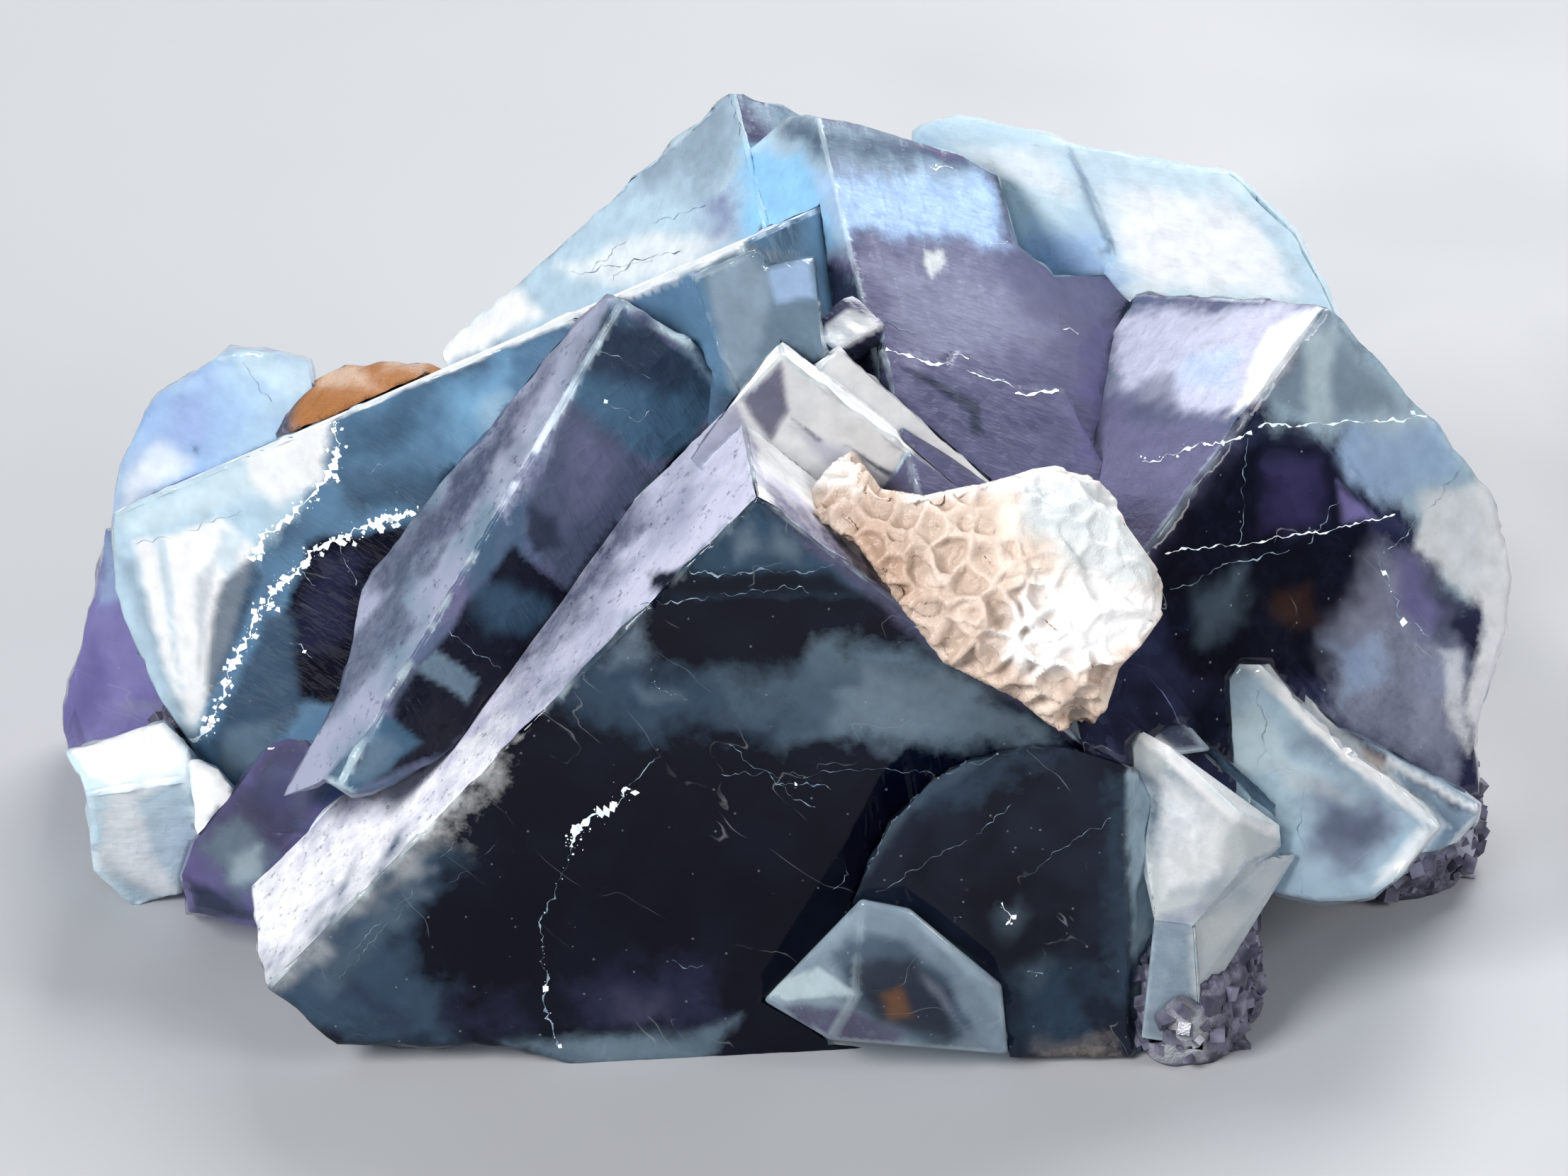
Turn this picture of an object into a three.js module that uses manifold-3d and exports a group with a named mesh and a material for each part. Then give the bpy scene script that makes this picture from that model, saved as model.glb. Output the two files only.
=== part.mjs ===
// Fluorite cluster with calcite: intergrown cubes of clear fluorite on a rough matrix,
// with one etched calcite on the shoulder of the front cube. Millimetres, +Z up.
//
// Every place is given as the show side shows it: u across, v up and w towards the eye,
// where the eye looks down on the cluster at RISE from EYE_DISTANCE away.
// A cube's position in space is given by the angles at which its three edges are seen,
// the third one running away from the eye.

import * as THREE from "three";
import { ConvexGeometry } from "three/addons/geometries/ConvexGeometry.js";
import { mergeVertices } from "three/addons/utils/BufferGeometryUtils.js";
import Module from "manifold-3d";

const wasm = await Module();
wasm.setup();

// Driving dimensions

const RISE = THREE.MathUtils.degToRad(30);
const EYE_DISTANCE = 700;
const BASE_DROP = 29.2; // the cut base lies this far below the middle of the view
const GAP = 0.32; // room between pieces that grew against each other
const CUTTER = 120; // half the reach of the prisms that trim a crystal to its outline

const FRONT_EDGES = [225, 323, 101];
const LEFT_EDGES = [202.5, 293.5, 28];
const REAR_EDGES = [342, 283, 220];
const REAR_RIGHT_EDGES = [348, 274, 50];
const RIGHT_EDGES = [233.4, 312.5, 175];
const RIGHT_LOW_EDGES = [138.5, 229.5, 30];

const CALCITE = {
  centre: [12.2, 0.6, 5.0],
  radii: [13.2, 9.6, 7.5],
  turn: -22,
  pits: 46,
  pitDepth: 0.1,
  rimWidth: 0.16,
};

const DRUSE = {
  sizes: [1.6, 4.2],
  seed: 11,
};

const COLOURS = {
  clearDark: 0x27384a,
  clearTeal: 0x4f8fa8,
  paleBlue: 0xa9bfd6,
  lilac: 0x9b8cc0,
  milky: 0xc9cfc9,
  calcite: 0xdcc3a4,
  matrix: 0x4a3d52,
};

// From what is seen to the object's own frame

const lean = new THREE.Matrix4().makeRotationX(Math.PI / 2 - RISE);
lean.premultiply(new THREE.Matrix4().makeTranslation(0, 0, BASE_DROP));

function spread(point) {
  const scale = 1 - point.z / EYE_DISTANCE;
  return new THREE.Vector3(point.x * scale, point.y * scale, point.z);
}

function seen(u, v, w) {
  return spread(new THREE.Vector3(u, v, w)).applyMatrix4(lean);
}

// The seen lengths of a unit cube's edges follow from their angles: the squares of the
// three lengths add up to 2, and each length tells how far its edge leans in depth.

function cubeAxes(edges) {
  const angles = edges.map((degrees) => THREE.MathUtils.degToRad(degrees));
  const doubled = new THREE.Matrix3().set(
    ...angles.map((angle) => Math.cos(2 * angle)),
    ...angles.map((angle) => Math.sin(2 * angle)),
    1, 1, 1,
  );
  const squares = new THREE.Vector3(0, 0, 2).applyMatrix3(doubled.invert()).toArray();
  const flat = angles.map((angle, i) => {
    const length = Math.sqrt(squares[i]);
    return new THREE.Vector3(length * Math.cos(angle), length * Math.sin(angle), 0);
  });
  return flat.map((axis, i) => {
    const depth = Math.sqrt(Math.max(0, 1 - squares[i]));
    const away = i === 2 || axis.dot(flat[2]) < 0;
    return axis.clone().setZ(away ? -depth : depth);
  });
}

// A plate whose long edge lies flat in the view, with its broad face turned aside

function plateAxes(longEdge, aside) {
  const angle = THREE.MathUtils.degToRad(longEdge);
  const turn = THREE.MathUtils.degToRad(aside);
  const along = new THREE.Vector3(Math.cos(angle), Math.sin(angle), 0);
  const square = new THREE.Vector3(-along.y, along.x, 0);
  const across = square.clone().multiplyScalar(Math.cos(turn)).setZ(-Math.sin(turn));
  const through = square.multiplyScalar(-Math.sin(turn)).setZ(-Math.cos(turn));
  return [along, across, through];
}

// Solids. Each maker takes the room to leave round its piece: none for the piece
// itself, and the gap for the hollow that its neighbours keep free for it.

function solid(geometry) {
  geometry.deleteAttribute("normal");
  geometry.deleteAttribute("uv");
  const merged = mergeVertices(geometry, 1e-4);
  return new wasm.Manifold(new wasm.Mesh({
    numProp: 3,
    vertProperties: new Float32Array(merged.attributes.position.array),
    triVerts: new Uint32Array(merged.index.array),
  }));
}

function joined(bodies) {
  return bodies.reduce((whole, body) => whole.add(body));
}

function block({ axes, corner, size }, room) {
  const turned = new THREE.Matrix4().makeBasis(...axes);
  const box = new THREE.BoxGeometry(...size.map((length) => length + 2 * room));
  box.translate(...size.map((length) => length / 2));
  if (turned.determinant() < 0) box.index.array.reverse();
  box.applyMatrix4(turned);
  box.translate(...spread(new THREE.Vector3(...corner)).toArray());
  box.applyMatrix4(lean);
  return solid(box);
}

function widened(outline, room) {
  const points = outline.map(([u, v]) => new THREE.Vector2(u, v));
  const outward = THREE.ShapeUtils.area(points) > 0 ? -Math.PI / 2 : Math.PI / 2;
  const normals = points.map((point, i) => {
    const next = points[(i + 1) % points.length];
    return next.clone().sub(point).normalize().rotateAround(new THREE.Vector2(), outward);
  });
  return points.map((point, i) => {
    const before = normals[(i + normals.length - 1) % normals.length];
    const miter = before.clone().add(normals[i]).normalize();
    const reach = 1 / Math.max(0.4, miter.dot(normals[i]));
    return point.clone().addScaledVector(miter, room * reach);
  });
}

function prism(outline, room) {
  const shape = new THREE.Shape(widened(outline, room));
  const geometry = new THREE.ExtrudeGeometry(shape, { depth: 2 * CUTTER, bevelEnabled: false });
  geometry.translate(0, 0, -CUTTER);
  const places = geometry.attributes.position;
  const place = new THREE.Vector3();
  for (let i = 0; i < places.count; i += 1) {
    place.copy(spread(place.fromBufferAttribute(places, i)));
    places.setXYZ(i, place.x, place.y, place.z);
  }
  geometry.applyMatrix4(lean);
  return solid(geometry);
}

function crystal({ axes, corner, size, outline }, room) {
  return block({ axes, corner, size }, room).intersect(prism(outline, room));
}

function hull(corners, room) {
  const points = corners.map((corner) => seen(...corner));
  const middle = new THREE.Box3().setFromPoints(points).getCenter(new THREE.Vector3());
  for (const point of points) {
    const outward = point.clone().sub(middle).normalize();
    point.addScaledVector(outward, 1.7 * room);
  }
  return solid(new ConvexGeometry(points));
}

function cleaved(body, corners, room) {
  const plane = new THREE.Plane().setFromCoplanarPoints(
    ...corners.map((corner) => seen(...corner)),
  );
  return body.trimByPlane(plane.normal.toArray(), -plane.constant - room);
}

// Rough natural surfaces

function seededRandom(seed) {
  let state = seed;
  return () => {
    state = (Math.imul(state, 1664525) + 1013904223) >>> 0;
    return state / 4294967296;
  };
}

function scatter(x, y, z) {
  const mix = Math.imul(x, 374761393) ^ Math.imul(y, 668265263) ^ Math.imul(z, 2147483647);
  const stirred = Math.imul(mix ^ (mix >>> 13), 1274126177);
  return ((stirred ^ (stirred >>> 16)) >>> 0) / 4294967296;
}

function noise(point, grain) {
  const scaled = point.toArray().map((value) => value / grain);
  const [i, j, k] = scaled.map(Math.floor);
  const [s, t, r] = [scaled[0] - i, scaled[1] - j, scaled[2] - k].map((f) => f * f * (3 - 2 * f));
  const { lerp } = THREE.MathUtils;
  const row = (dj, dk) => lerp(scatter(i, j + dj, k + dk), scatter(i + 1, j + dj, k + dk), s);
  return 2 * lerp(lerp(row(0, 0), row(1, 0), t), lerp(row(0, 1), row(1, 1), t), r) - 1;
}

function ball(detail) {
  const sphere = new THREE.IcosahedronGeometry(1, detail);
  sphere.deleteAttribute("normal");
  sphere.deleteAttribute("uv");
  return mergeVertices(sphere, 1e-4);
}

function reshaped(geometry, move) {
  const places = geometry.attributes.position;
  for (let i = 0; i < places.count; i += 1) {
    const place = move(new THREE.Vector3().fromBufferAttribute(places, i));
    places.setXYZ(i, place.x, place.y, place.z);
  }
  return geometry;
}

function rock({ centre, radii, detail, roughness, grain }) {
  return solid(reshaped(ball(detail), (place) => {
    const surface = place.multiply(new THREE.Vector3(...radii));
    const swell = 1 + roughness * (noise(surface, grain) + 0.5 * noise(surface, grain / 2.3));
    return surface.multiplyScalar(swell).add(new THREE.Vector3(...centre));
  }));
}

// The front cube, with two smaller parallel cubes on its shoulder

function frontCrystal(room) {
  const axes = cubeAxes(FRONT_EDGES);
  const main = {
    axes,
    corner: [-1.7, 5.8, 14],
    size: [47, 46, 13],
    outline: [
      [-36, -19.6], [-34.3, -18.4], [-20, -4], [-2.9, 13.5], [4, 13.5], [26, -6], [26, -31.5],
      [-8, -30.5], [-12.8, -30.7], [-17.4, -29.2], [-28.6, -29.1], [-33, -25.3], [-34.1, -21],
    ],
  };
  const shoulder = {
    axes,
    corner: [-0.1, 14.8, 8],
    size: [9, 19, 12],
    outline: [
      [-3.1, 12], [-0.1, 15.6], [2.8, 13.4], [8.4, 9.7], [14, 6.4], [14, -2], [-6, -2], [-6, 8],
    ],
  };
  const ledge = {
    axes,
    corner: [3.4, 15.2, 5.6],
    size: [10, 15, 11],
    outline: [[0, 13], [3.5, 15.1], [6.9, 12.2], [10, 9.4], [14, 6], [14, -2], [-2, 2]],
  };
  return joined([main, shoulder, ledge].map((form) => crystal(form, room)));
}

function frontRightCrystal(room) {
  const body = crystal({
    axes: cubeAxes(FRONT_EDGES),
    corner: [8, 12, 20.1],
    size: [60, 60, 13],
    outline: [
      [15, -10.5], [12, -11.2], [9.7, -12.3], [7, -15], [5.4, -18.1], [3.9, -21.5],
      [2.5, -26], [3, -29], [14.2, -29.9], [22.8, -29.9], [23.5, -25.1], [23.9, -20.3],
      [23.5, -16.7], [23.3, -13.4], [22.4, -11.7], [18, -10.3],
    ],
  }, room);
  return cleaved(body, [[22, -11.5, 5.3], [24.4, -12, 0], [22, -26, -2.9]], room);
}

function lowFrontCrystal(room) {
  const front = [
    [-1.1, -26.4, -2.4], [2, -24.2, 0.4], [4.2, -21.9, 2], [5, -20.1, 3.4], [8, -20.7, 3.6],
    [10, -22.4, 2.8], [12, -24.5, 1.6], [13.8, -25.5, 0.6], [14.2, -29.7, -2.2],
    [3, -28.8, -1.4], [4.6, -26, 1.8],
  ];
  const rear = front.map(([u, v, w]) => [u, v, w - 8]);
  return hull([...front, ...rear], room);
}

// The middle cube, a tall plate with a broad side

function middleCrystal(room) {
  return crystal({
    axes: plateAxes(239.6, 28),
    corner: [-10.4, 18.3, 3.4],
    size: [46, 22, 13],
    outline: [
      [-31.9, -13.2], [-30, -9.9], [-28.2, -6.8], [-26.9, -0.2], [-25.3, 2.1], [-22, 6.5],
      [-17.9, 10.9], [-15.2, 14.6], [-12.9, 17.1], [-11.3, 18.6], [-9.2, 18.3], [-7.5, 17.3],
      [-6.3, 15.8], [-3.8, 12.7], [-2.8, 12.3], [-7, 8.5], [-11.8, 2.2], [-16, -2.8],
      [-21.5, -10.1], [-25.1, -12.4], [-27.7, -13.2], [-29.4, -12.2],
    ],
  }, room);
}

// The large left cube and the stepped block at its right end

function leftCrystal(room) {
  const axes = cubeAxes(LEFT_EDGES);
  const main = {
    axes,
    corner: [-2.8, 22.0, 2.4],
    size: [52, 34, 15],
    outline: [
      [-42.8, 5.6], [-42.8, 0], [-41.8, -2.5], [-40.8, -4.5], [-39.85, -7], [-38, -9.7],
      [-33, -15], [-20, -15], [4, 8], [4, 26], [-10, 26],
    ],
  };
  const step = {
    axes,
    corner: [2.4, 23.4, 6.2],
    size: [10, 16, 12],
    outline: [
      [-5.7, 20.3], [-2.7, 21.9], [-1.9, 21.6], [-1.2, 20.5], [1.8, 21.1], [2.3, 15.8],
      [3.1, 12.9], [0, 8], [-4, 8], [-3.4, 12.7],
    ],
  };
  return joined([main, step].map((form) => crystal(form, room)));
}

// The rear cube: a tall wing behind, a broad face with a raised slab low on it,
// and one small cube in the corner

function rearCrystal(room) {
  const axes = cubeAxes(REAR_EDGES);
  const wing = {
    axes,
    corner: [-3.2, 31.7, -19.4],
    size: [30, 45, 31],
    outline: [
      [-22.6, 15.7], [-19.1, 18], [-17.6, 18.7], [-13.7, 22.4], [-9.6, 26.4], [-5.5, 30.2],
      [-3.4, 31.5], [-1.5, 31.5], [2.6, 30.3], [6.9, 29.5], [8.6, 29], [8.6, 0], [-24, 0],
    ],
  };
  const face = {
    axes,
    corner: [1.9, 31.3, -13],
    size: [36, 42, 18],
    outline: [
      [-2.3, 28.4], [-0.3, 30], [2.6, 30], [5, 29.5], [8.4, 28.5], [12, 27.2], [13.5, 26.3],
      [14.2, 24.2], [14.8, 22], [17.2, 19.8], [21.4, 19.9], [22.6, 18.9], [21.6, 17.6],
      [26, 10], [20, -4], [-10, 0], [-10, 20],
    ],
  };
  const slab = {
    axes,
    corner: [5.2, 20, -4],
    size: [36, 42, 12],
    outline: [
      [6.4, 15.5], [10.4, 14.2], [11, 15.2], [11.8, 14.9], [11.8, 13.9], [14.8, 12.9],
      [17.8, 12.6], [20.3, 7.8], [18, -2], [6.4, 2],
    ],
  };
  const cube = { axes: cubeAxes([32, 140, 268]), corner: [3.4, 15.2, 0.8], size: [3.6, 2.6, 3] };
  return joined([
    ...[wing, face, slab].map((form) => crystal(form, room)),
    block(cube, room),
  ]);
}

function rearRightCrystal(room) {
  const axes = cubeAxes(REAR_RIGHT_EDGES);
  const broad = {
    axes,
    corner: [4, 33, -26],
    size: [40, 30, 14],
    outline: [
      [8.6, 29.1], [9.8, 29.8], [11.1, 30.1], [17, 28.9], [19.9, 27.9], [28.6, 26.5],
      [30.3, 25.1], [32.7, 22.8], [34, 20.2], [35.4, 17.4], [35, 10], [12, 10], [9, 22],
    ],
  };
  const raised = {
    axes,
    corner: [4, 33, -24.6],
    size: [40, 30, 12],
    outline: [
      [18.4, 28.2], [28.4, 26.4], [30, 25], [32.4, 22.7], [33.8, 20.1], [35.2, 17.4],
      [35, 10], [21, 14], [20.4, 20], [21.3, 21.2], [21, 22.6], [19.9, 25.3],
    ],
  };
  return joined([broad, raised].map((form) => crystal(form, room)));
}

// The right cube, and the two flat cubes below it

function rightCrystal(room) {
  return crystal({
    axes: cubeAxes(RIGHT_EDGES),
    corner: [34.8, 18.2, -6],
    size: [36, 34, 22],
    outline: [
      [19.3, 12.3], [21.8, 17.1], [22.7, 18.8], [25.7, 18.8], [34.8, 17.9], [36.2, 16.6],
      [41.8, 10.6], [44.9, 6.9], [46.1, 2.7], [46.4, 0.7], [46, -2.9], [44.6, -7.2],
      [44.1, -10.3], [44.4, -13], [36, -14], [20, -14], [17, 2],
    ],
  }, room);
}

function rightLowCrystal(room) {
  const axes = cubeAxes(RIGHT_LOW_EDGES);
  const front = {
    axes,
    corner: [42, -15.3, -1.5],
    size: [18, 18, 12],
    outline: [
      [26.4, -8.4], [29.3, -5.1], [31, -5.1], [33.4, -7.9], [36.7, -11], [41, -13.9],
      [42, -15.3], [40.1, -17.7], [37.7, -19.6], [34.3, -20.1], [30, -19],
    ],
  };
  const back = {
    axes,
    corner: [45.5, -13.4, -5],
    size: [20, 14, 12],
    outline: [
      [31.4, -5.1], [35.5, -9.1], [39.1, -10.8], [44.5, -13.9], [44, -16], [36, -18],
      [30, -12],
    ],
  };
  return joined([front, back].map((form) => crystal(form, room)));
}

// Milky blades low on the right

function paleBlades(room) {
  const broad = [
    [21, -8.3, -1], [24.7, -10.3, 2.4], [29.1, -14.4, 1.2], [31.6, -15.3, -2],
    [31.7, -16.5, -2.4], [29.5, -17.7, 0], [27.1, -19.6, 0.4], [26.2, -21.5, 0.8],
    [23.9, -21.2, 0.2], [23.8, -18.2, 0.6], [22.4, -10.3, 1],
    [23, -10, -10], [31, -16, -12], [25, -21, -9],
  ];
  const low = [
    [23.9, -21.3, 0], [23.5, -25.1, -2], [23.1, -28.7, -3.6], [26.7, -29.2, -3.6],
    [26.5, -25.1, -1.4], [26.2, -21.5, 0.8], [24, -21, -9], [24, -28, -12], [27, -22, -9],
    [27, -29, -12],
  ];
  const right = [
    [29.5, -17.7, -0.6], [32.6, -17.2, -3], [30.5, -20.6, -3], [27.1, -26.1, -3],
    [26.4, -25.4, -1.6], [26.2, -21.5, 0.4], [31, -18, -10], [27, -25, -10],
  ];
  const rod = [
    [26.8, -10.8, 0.6], [27.6, -10.2, 0], [31.4, -13.4, -1], [31.3, -14.8, -1],
    [28.3, -12.7, 0.6], [27.6, -10.4, -8], [31.3, -14, -8],
  ];
  const bar = [
    [21.2, -5.1, -2], [22.4, -5.1, -2.4], [25.7, -9.3, -1], [27.1, -10.3, -1],
    [24.7, -10.6, 0.4], [21, -7.2, -1], [22, -5.4, -9], [26.5, -10.2, -9],
  ];
  return joined([broad, low, right, rod, bar].map((corners) => hull(corners, room)));
}

// Small crystals on the left

function leftRearCrystal(room) {
  return crystal({
    axes: cubeAxes([190, 285, 60]),
    corner: [-30.4, 15.8, -24],
    size: [18, 20, 10],
    outline: [
      [-43.6, 2], [-43.1, 3.8], [-42.4, 7.8], [-40.9, 11.3], [-40, 12.3], [-38.3, 13.3],
      [-35.4, 15.3], [-32.3, 14.9], [-30.6, 14.4], [-29.5, 8], [-36, 2],
    ],
  }, room);
}

function leftPurpleCrystal(room) {
  return crystal({
    axes: cubeAxes([196, 290, 50]),
    corner: [-31, 8, -21],
    size: [24, 30, 10],
    outline: [
      [-43.3, 3.6], [-43.9, 0.1], [-44.9, -3.9], [-45.7, -6], [-46, -9.1], [-45.6, -10.6],
      [-39, -8.2], [-34, -8], [-36, 4],
    ],
  }, room);
}

function leftLowCrystal(room) {
  const main = crystal({
    axes: cubeAxes([189, 285, 95]),
    corner: [-38.3, -12.2, -12.5],
    size: [8, 12, 10],
    outline: [
      [-46, -10.5], [-44.8, -10.3], [-39.8, -8.7], [-37.7, -11.2], [-37.4, -16],
      [-38.4, -18.4], [-39, -20.9], [-41.2, -20.5], [-44.1, -18], [-44.5, -13.6], [-45, -12],
    ],
  }, room);
  const side = hull([
    [-37.9, -11.3, -12.8], [-36.4, -11.8, -12.6], [-35.1, -13.2, -12.6], [-37.5, -16.1, -12],
    [-37, -11.3, -20], [-35, -13.2, -20], [-37.5, -15.6, -20],
  ], room);
  return joined([main, side]);
}

function leftSmallCrystal(room) {
  return crystal({
    axes: cubeAxes([225, 316, 95]),
    corner: [-32.2, -8.6, -11],
    size: [17, 16, 9],
    outline: [
      [-32.8, -10], [-35.2, -13.2], [-37.7, -16.3], [-38.4, -18.4], [-38.1, -20.7],
      [-36, -21.1], [-33.7, -21.6], [-28, -18], [-28, -10],
    ],
  }, room);
}

// The calcite: a rounded mass with etched cells pushed in between sharp rims

function calcite(room) {
  const random = seededRandom(7);
  const pits = Array.from({ length: CALCITE.pits }, () => (
    new THREE.Vector3(random() - 0.5, random() - 0.5, random() - 0.2).normalize()
  ));
  const turn = THREE.MathUtils.degToRad(CALCITE.turn);
  const viewAxis = new THREE.Vector3(0, 0, 1);
  const etched = reshaped(ball(10), (place) => {
    const near = pits.map((pit) => pit.distanceTo(place)).sort((a, b) => a - b);
    const rim = Math.min(1, (near[1] - near[0]) / CALCITE.rimWidth);
    const radii = CALCITE.radii.map((radius) => radius + room);
    place.multiplyScalar(1 - CALCITE.pitDepth * rim).multiply(new THREE.Vector3(...radii));
    place.applyAxisAngle(viewAxis, turn).add(new THREE.Vector3(...CALCITE.centre));
    return spread(place).applyMatrix4(lean);
  });
  return solid(etched).intersect(prism([
    [-1.3, 7.2], [-0.6, 8.6], [1.8, 9.3], [4.4, 8.4], [6, 6.1], [9, 5.6], [12.7, 6.4],
    [16, 7.5], [17.4, 7.7], [19.9, 7.2], [21, 6.3], [21.8, 4], [24.3, 0.5], [24.5, -1.2],
    [22.8, -3.6], [21.3, -5.1], [20, -8.9], [18.8, -9.8], [15.2, -6.9], [10.4, -4.5],
    [8, -1.4], [5, 2.9], [1, 5.4],
  ], room));
}

// The rough matrix under and behind the crystals, set with small cubes

const ROCKS = [
  { centre: [3, 22, 11], radii: [32, 15, 20], detail: 7, roughness: 0.09, grain: 11, cubes: 26 },
  { centre: [-28, 24, 8], radii: [12, 12, 12], detail: 4, roughness: 0.1, grain: 6, cubes: 8 },
  { centre: [25.8, -2, 3], radii: [5, 10.5, 9], detail: 4, roughness: 0.08, grain: 6, cubes: 12 },
  { centre: [27, 16, 8], radii: [9, 12, 12], detail: 4, roughness: 0.08, grain: 6, cubes: 10 },
  { centre: [40, 15, 4], radii: [6.3, 7, 8], detail: 4, roughness: 0.1, grain: 6, cubes: 10 },
  { centre: [-26, 28, 22], radii: [8, 6, 8], detail: 4, roughness: 0.1, grain: 5, cubes: 0 },
];

function druse({ centre, radii, cubes }, random) {
  return Array.from({ length: cubes }, () => {
    const way = new THREE.Vector3(random() - 0.5, random() - 0.5, random() * 0.7 - 0.2).normalize();
    const place = way.multiply(new THREE.Vector3(...radii)).add(new THREE.Vector3(...centre));
    const side = THREE.MathUtils.lerp(...DRUSE.sizes, random() ** 2);
    const box = new THREE.BoxGeometry(side, side, side);
    box.rotateX(Math.PI * random());
    box.rotateZ(Math.PI * random());
    box.translate(...place.toArray());
    return solid(box);
  });
}

function matrix() {
  const random = seededRandom(DRUSE.seed);
  return joined(ROCKS.flatMap((form) => [rock(form), ...druse(form, random)]));
}

// The back of the cluster, where it was broken from the rock: all pieces end there

function brokenBack() {
  return rock({ centre: [0, -10, 15], radii: [76, 54, 85], detail: 12, roughness: 0.02, grain: 12 });
}

// Pieces that grew first keep their shape, and later ones fit round them

const PIECES = [
  ["low_front_crystal", lowFrontCrystal, COLOURS.clearTeal, 0.2],
  ["front_right_crystal", frontRightCrystal, COLOURS.clearDark, 0.15],
  ["front_crystal", frontCrystal, COLOURS.clearDark, 0.15],
  ["pale_blades", paleBlades, COLOURS.milky, 0.35],
  ["middle_crystal", middleCrystal, COLOURS.lilac, 0.3],
  ["left_crystal", leftCrystal, COLOURS.clearTeal, 0.2],
  ["right_low_crystal", rightLowCrystal, COLOURS.paleBlue, 0.25],
  ["right_crystal", rightCrystal, COLOURS.lilac, 0.25],
  ["rear_crystal", rearCrystal, COLOURS.paleBlue, 0.3],
  ["rear_right_crystal", rearRightCrystal, COLOURS.paleBlue, 0.3],
  ["left_small_crystal", leftSmallCrystal, COLOURS.lilac, 0.3],
  ["left_low_crystal", leftLowCrystal, COLOURS.paleBlue, 0.3],
  ["left_purple_crystal", leftPurpleCrystal, COLOURS.lilac, 0.3],
  ["left_rear_crystal", leftRearCrystal, COLOURS.paleBlue, 0.3],
  ["calcite", calcite, COLOURS.calcite, 0.5],
  ["matrix", matrix, COLOURS.matrix, 0.8],
];

function mesh(name, body, colour, roughness) {
  const { vertProperties, triVerts } = body.getMesh();
  const geometry = new THREE.BufferGeometry();
  geometry.setAttribute("position", new THREE.BufferAttribute(vertProperties, 3));
  geometry.setIndex(new THREE.BufferAttribute(triVerts, 1));
  const material = new THREE.MeshStandardMaterial({
    color: colour, roughness, metalness: 0, flatShading: true,
  });
  const piece = new THREE.Mesh(geometry, material);
  piece.name = name;
  return piece;
}

function onTheFloor(body) {
  return body.trimByPlane([0, 0, 1], 0);
}

const cluster = new THREE.Group();
const rooms = [];
const back = brokenBack();
for (const [name, make, colour, roughness] of PIECES) {
  const whole = onTheFloor(make(0)).intersect(back);
  const fitted = rooms.reduce((body, room) => body.subtract(room), whole);
  const [largest] = fitted.decompose().sort((a, b) => b.volume() - a.volume());
  cluster.add(mesh(name, largest, colour, roughness));
  rooms.push(make(GAP));
}

const middle = new THREE.Box3().setFromObject(cluster).getCenter(new THREE.Vector3());
cluster.position.set(-middle.x, -middle.y, 0);
cluster.updateMatrixWorld(true);

export default cluster;
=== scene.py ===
"""Fluorite cluster with calcite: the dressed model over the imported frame."""

import math
import random
from typing import NamedTuple

import bmesh
import bpy
import numpy as np
from mathutils import Color, Matrix, Vector, noise
from mathutils.bvhtree import BVHTree


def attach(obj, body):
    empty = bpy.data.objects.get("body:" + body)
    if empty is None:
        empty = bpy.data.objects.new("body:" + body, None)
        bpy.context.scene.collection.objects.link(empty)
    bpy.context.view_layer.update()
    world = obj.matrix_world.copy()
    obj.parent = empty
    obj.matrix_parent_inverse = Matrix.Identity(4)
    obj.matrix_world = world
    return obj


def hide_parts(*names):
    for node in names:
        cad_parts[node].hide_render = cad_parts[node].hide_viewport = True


bl_info = {
    "name": "Fluorite cluster with calcite",
    "version": (1, 0, 0),
    "blender": (4, 5, 0),
    "location": "View3D > Sidebar > Fluorite",
    "description": "Dresses the fluorite cluster with zoned crystals, white_ribbons, calcite and druse",
    "category": "Object",
}

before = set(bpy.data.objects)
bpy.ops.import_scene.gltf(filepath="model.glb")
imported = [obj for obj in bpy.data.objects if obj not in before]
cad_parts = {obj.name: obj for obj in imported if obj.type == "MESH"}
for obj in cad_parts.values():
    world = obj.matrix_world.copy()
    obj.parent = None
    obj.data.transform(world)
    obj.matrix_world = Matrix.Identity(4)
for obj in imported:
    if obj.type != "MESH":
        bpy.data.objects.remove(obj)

MM = 0.001
BODY = "root"

# Noise vectors start from a chance offset unless they have a seed.

NOISE_SEED = 1
noise.seed_set(NOISE_SEED)

# The show side: u across, v up and w towards the eye, in millimetres.

RISE = math.radians(30)
EYE_DISTANCE = 700
VIEW_MIDDLE = Vector((0.104, -14.67, 29.2))
FRAME_WIDTH = 100.545
SENSOR = 36
ACROSS = Vector((1, 0, 0))
UPWARD = Vector((0, math.sin(RISE), math.cos(RISE)))
TO_EYE = Vector((0, -math.cos(RISE), math.sin(RISE)))
EYE = (VIEW_MIDDLE + EYE_DISTANCE * TO_EYE) * MM

# Colours of the zones and finishes, by name.

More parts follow.
